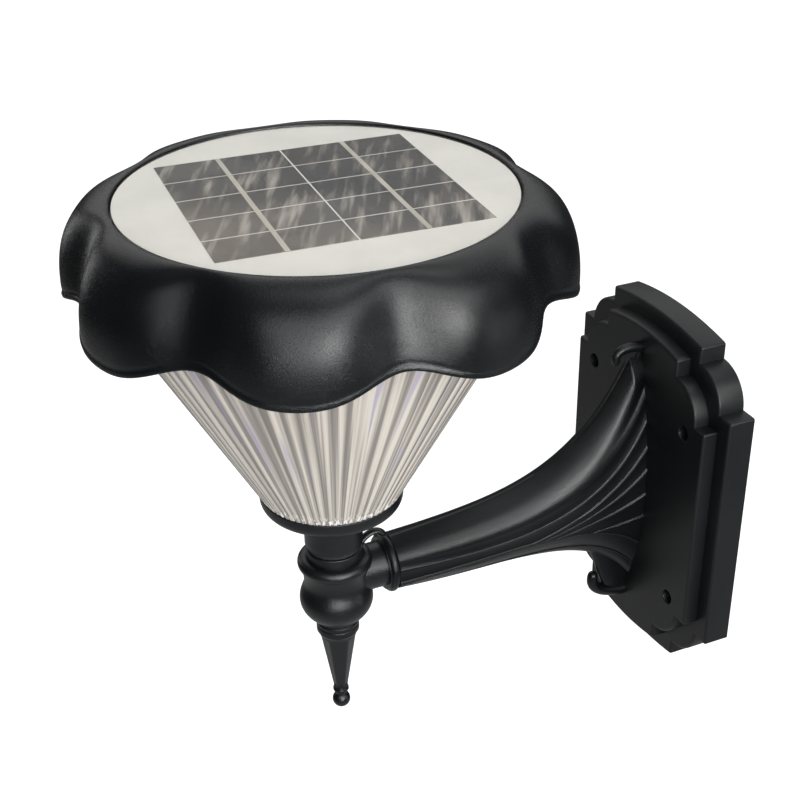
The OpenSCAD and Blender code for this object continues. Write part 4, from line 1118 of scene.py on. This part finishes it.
class WALL_LIGHT_OT_stage(Operator):
    """Add the floor, the lights and the camera"""
    bl_idname = "wall_light.stage"
    bl_label = "Stage"

    def execute(self, context):
        stage = settings().stage
        corners = [(x * FLOOR_HALF, y * FLOOR_HALF, stage.floor_z)
                   for x, y in ((-1, -1), (1, -1), (1, 1), (-1, 1))]
        mesh = bpy.data.meshes.new("floor")
        mesh.from_pydata(corners, [], [(0, 1, 2, 3)])
        mesh.materials.append(finish("pale_floor").surface(
            Base_Color=(0.3, 0.3, 0.3), Roughness=0.9, Emission_Color=WHITE,
            Emission_Strength=1.0))
        floor = placed("floor", mesh)
        floor.visible_glossy = floor.visible_diffuse = False
        context.scene.camera = self.camera(stage)
        context.scene.world = self.sky(stage)
        for name, values in SOFTBOXES.items():
            self.softbox(name, *values)
        context.scene.view_settings.view_transform = "Standard"
        return {"FINISHED"}

    @staticmethod
    def sky(stage):
        """A world that is white behind the lamp, and elsewhere a dim dome, paler above and
        below."""
        n = Nodes(bpy.data.worlds.new("even_light"))
        up = n.parts(n.node("TexCoord", output="Generated"))[2]
        height = n.node("Math", {"operation": "MULTIPLY_ADD"}, {0: up, 1: 0.5, 2: 0.5})
        strength = n.node("FloatCurve", inputs={"Value": height})
        mapping = strength.socket.node.mapping
        curve = mapping.curves[0].points
        curve[0].location, curve[1].location = SKY[0], (1.0, stage.world)
        for spot in SKY[1:]:
            curve.new(*spot)
        mapping.update()
        dome = n.node("Background", inputs={"Color": WHITE, "Strength": strength})
        white = n.node("Background", inputs={"Color": WHITE})
        seen = n.node("LightPath", output="Is Camera Ray")
        mixed = n.node("MixShader", inputs={0: seen, 1: dome, 2: white})
        n.node("OutputWorld", inputs={"Surface": mixed})
        return n.owner

    @staticmethod
    def camera(stage):
        """The camera, from its place, directions and focal length."""
        a, e = stage.azimuth, stage.elevation
        ahead = Vector((-math.sin(a) * math.cos(e), math.cos(a) * math.cos(e), -math.sin(e)))
        right = ahead.cross(Vector((0, 0, 1))).normalized()
        up = right.cross(ahead)
        c, s = math.cos(stage.roll), math.sin(stage.roll)
        right, up = right * c + up * s, up * c - right * s
        data = bpy.data.cameras.new("camera")
        data.sensor_width = SENSOR_W
        data.lens = stage.focal_px / PICTURE_W * SENSOR_W
        camera = placed("camera", data)
        facing = Matrix((right, up, -ahead)).transposed().to_4x4()
        camera.matrix_world = Matrix.Translation(stage.eye) @ facing
        return camera

    @staticmethod
    def softbox(name, azimuth, elevation, distance, width, height, power, tilt):
        """A soft rectangular light that faces the lamp's head, turned about its line of sight
        by a tilt."""
        a, e = math.radians(azimuth), math.radians(elevation)
        way = Vector((math.cos(a) * math.cos(e), math.sin(a) * math.cos(e), math.sin(e)))
        data = bpy.data.lights.new(name, "AREA")
        data.shape, data.energy = "RECTANGLE", power
        data.size, data.size_y = width, height
        light = placed(name, data)
        light.location = Vector((0, -settings().arm.reach, HEAD_Z)) + way * distance
        facing = way.to_track_quat("Z", "Y").to_matrix()
        facing = facing @ Matrix.Rotation(math.radians(tilt), 3, "Z")
        light.rotation_euler = facing.to_euler()
        light.visible_camera = False
        light.visible_glossy = name != "overhead"


class WALL_LIGHT_PT_panel(Panel):
    """The pieces of the wall light"""
    bl_label = "Wall Light"
    bl_idname = "WALL_LIGHT_PT_panel"
    bl_space_type = "VIEW_3D"
    bl_region_type = "UI"
    bl_category = "Wall Light"

    def draw(self, context):
        for operator in OPERATORS:
            self.layout.operator(operator.bl_idname)


OPERATORS = (WALL_LIGHT_OT_plate, WALL_LIGHT_OT_arm, WALL_LIGHT_OT_scrolls, WALL_LIGHT_OT_socket,
             WALL_LIGHT_OT_finial, WALL_LIGHT_OT_cup, WALL_LIGHT_OT_lens, WALL_LIGHT_OT_cap,
             WALL_LIGHT_OT_panel, WALL_LIGHT_OT_works, WALL_LIGHT_OT_stage)
CLASSES = (PlateSizes, ArmSizes, SocketSizes, HeadSizes, Finishes, StageSettings, LightSettings,
           *OPERATORS, WALL_LIGHT_PT_panel)


def register():
    """Registers the classes and the scene's settings."""
    for cls in CLASSES:
        bpy.utils.register_class(cls)
    bpy.types.Scene.wall_light = PointerProperty(type=LightSettings)


def unregister():
    """Takes back what register did."""
    del bpy.types.Scene.wall_light
    for cls in reversed(CLASSES):
        bpy.utils.unregister_class(cls)


def main():
    """Makes every piece and the stage."""
    register()
    for operator in OPERATORS:
        group, name = operator.bl_idname.split(".")
        getattr(getattr(bpy.ops, group), name)()


if __name__ == "__main__":
    main()
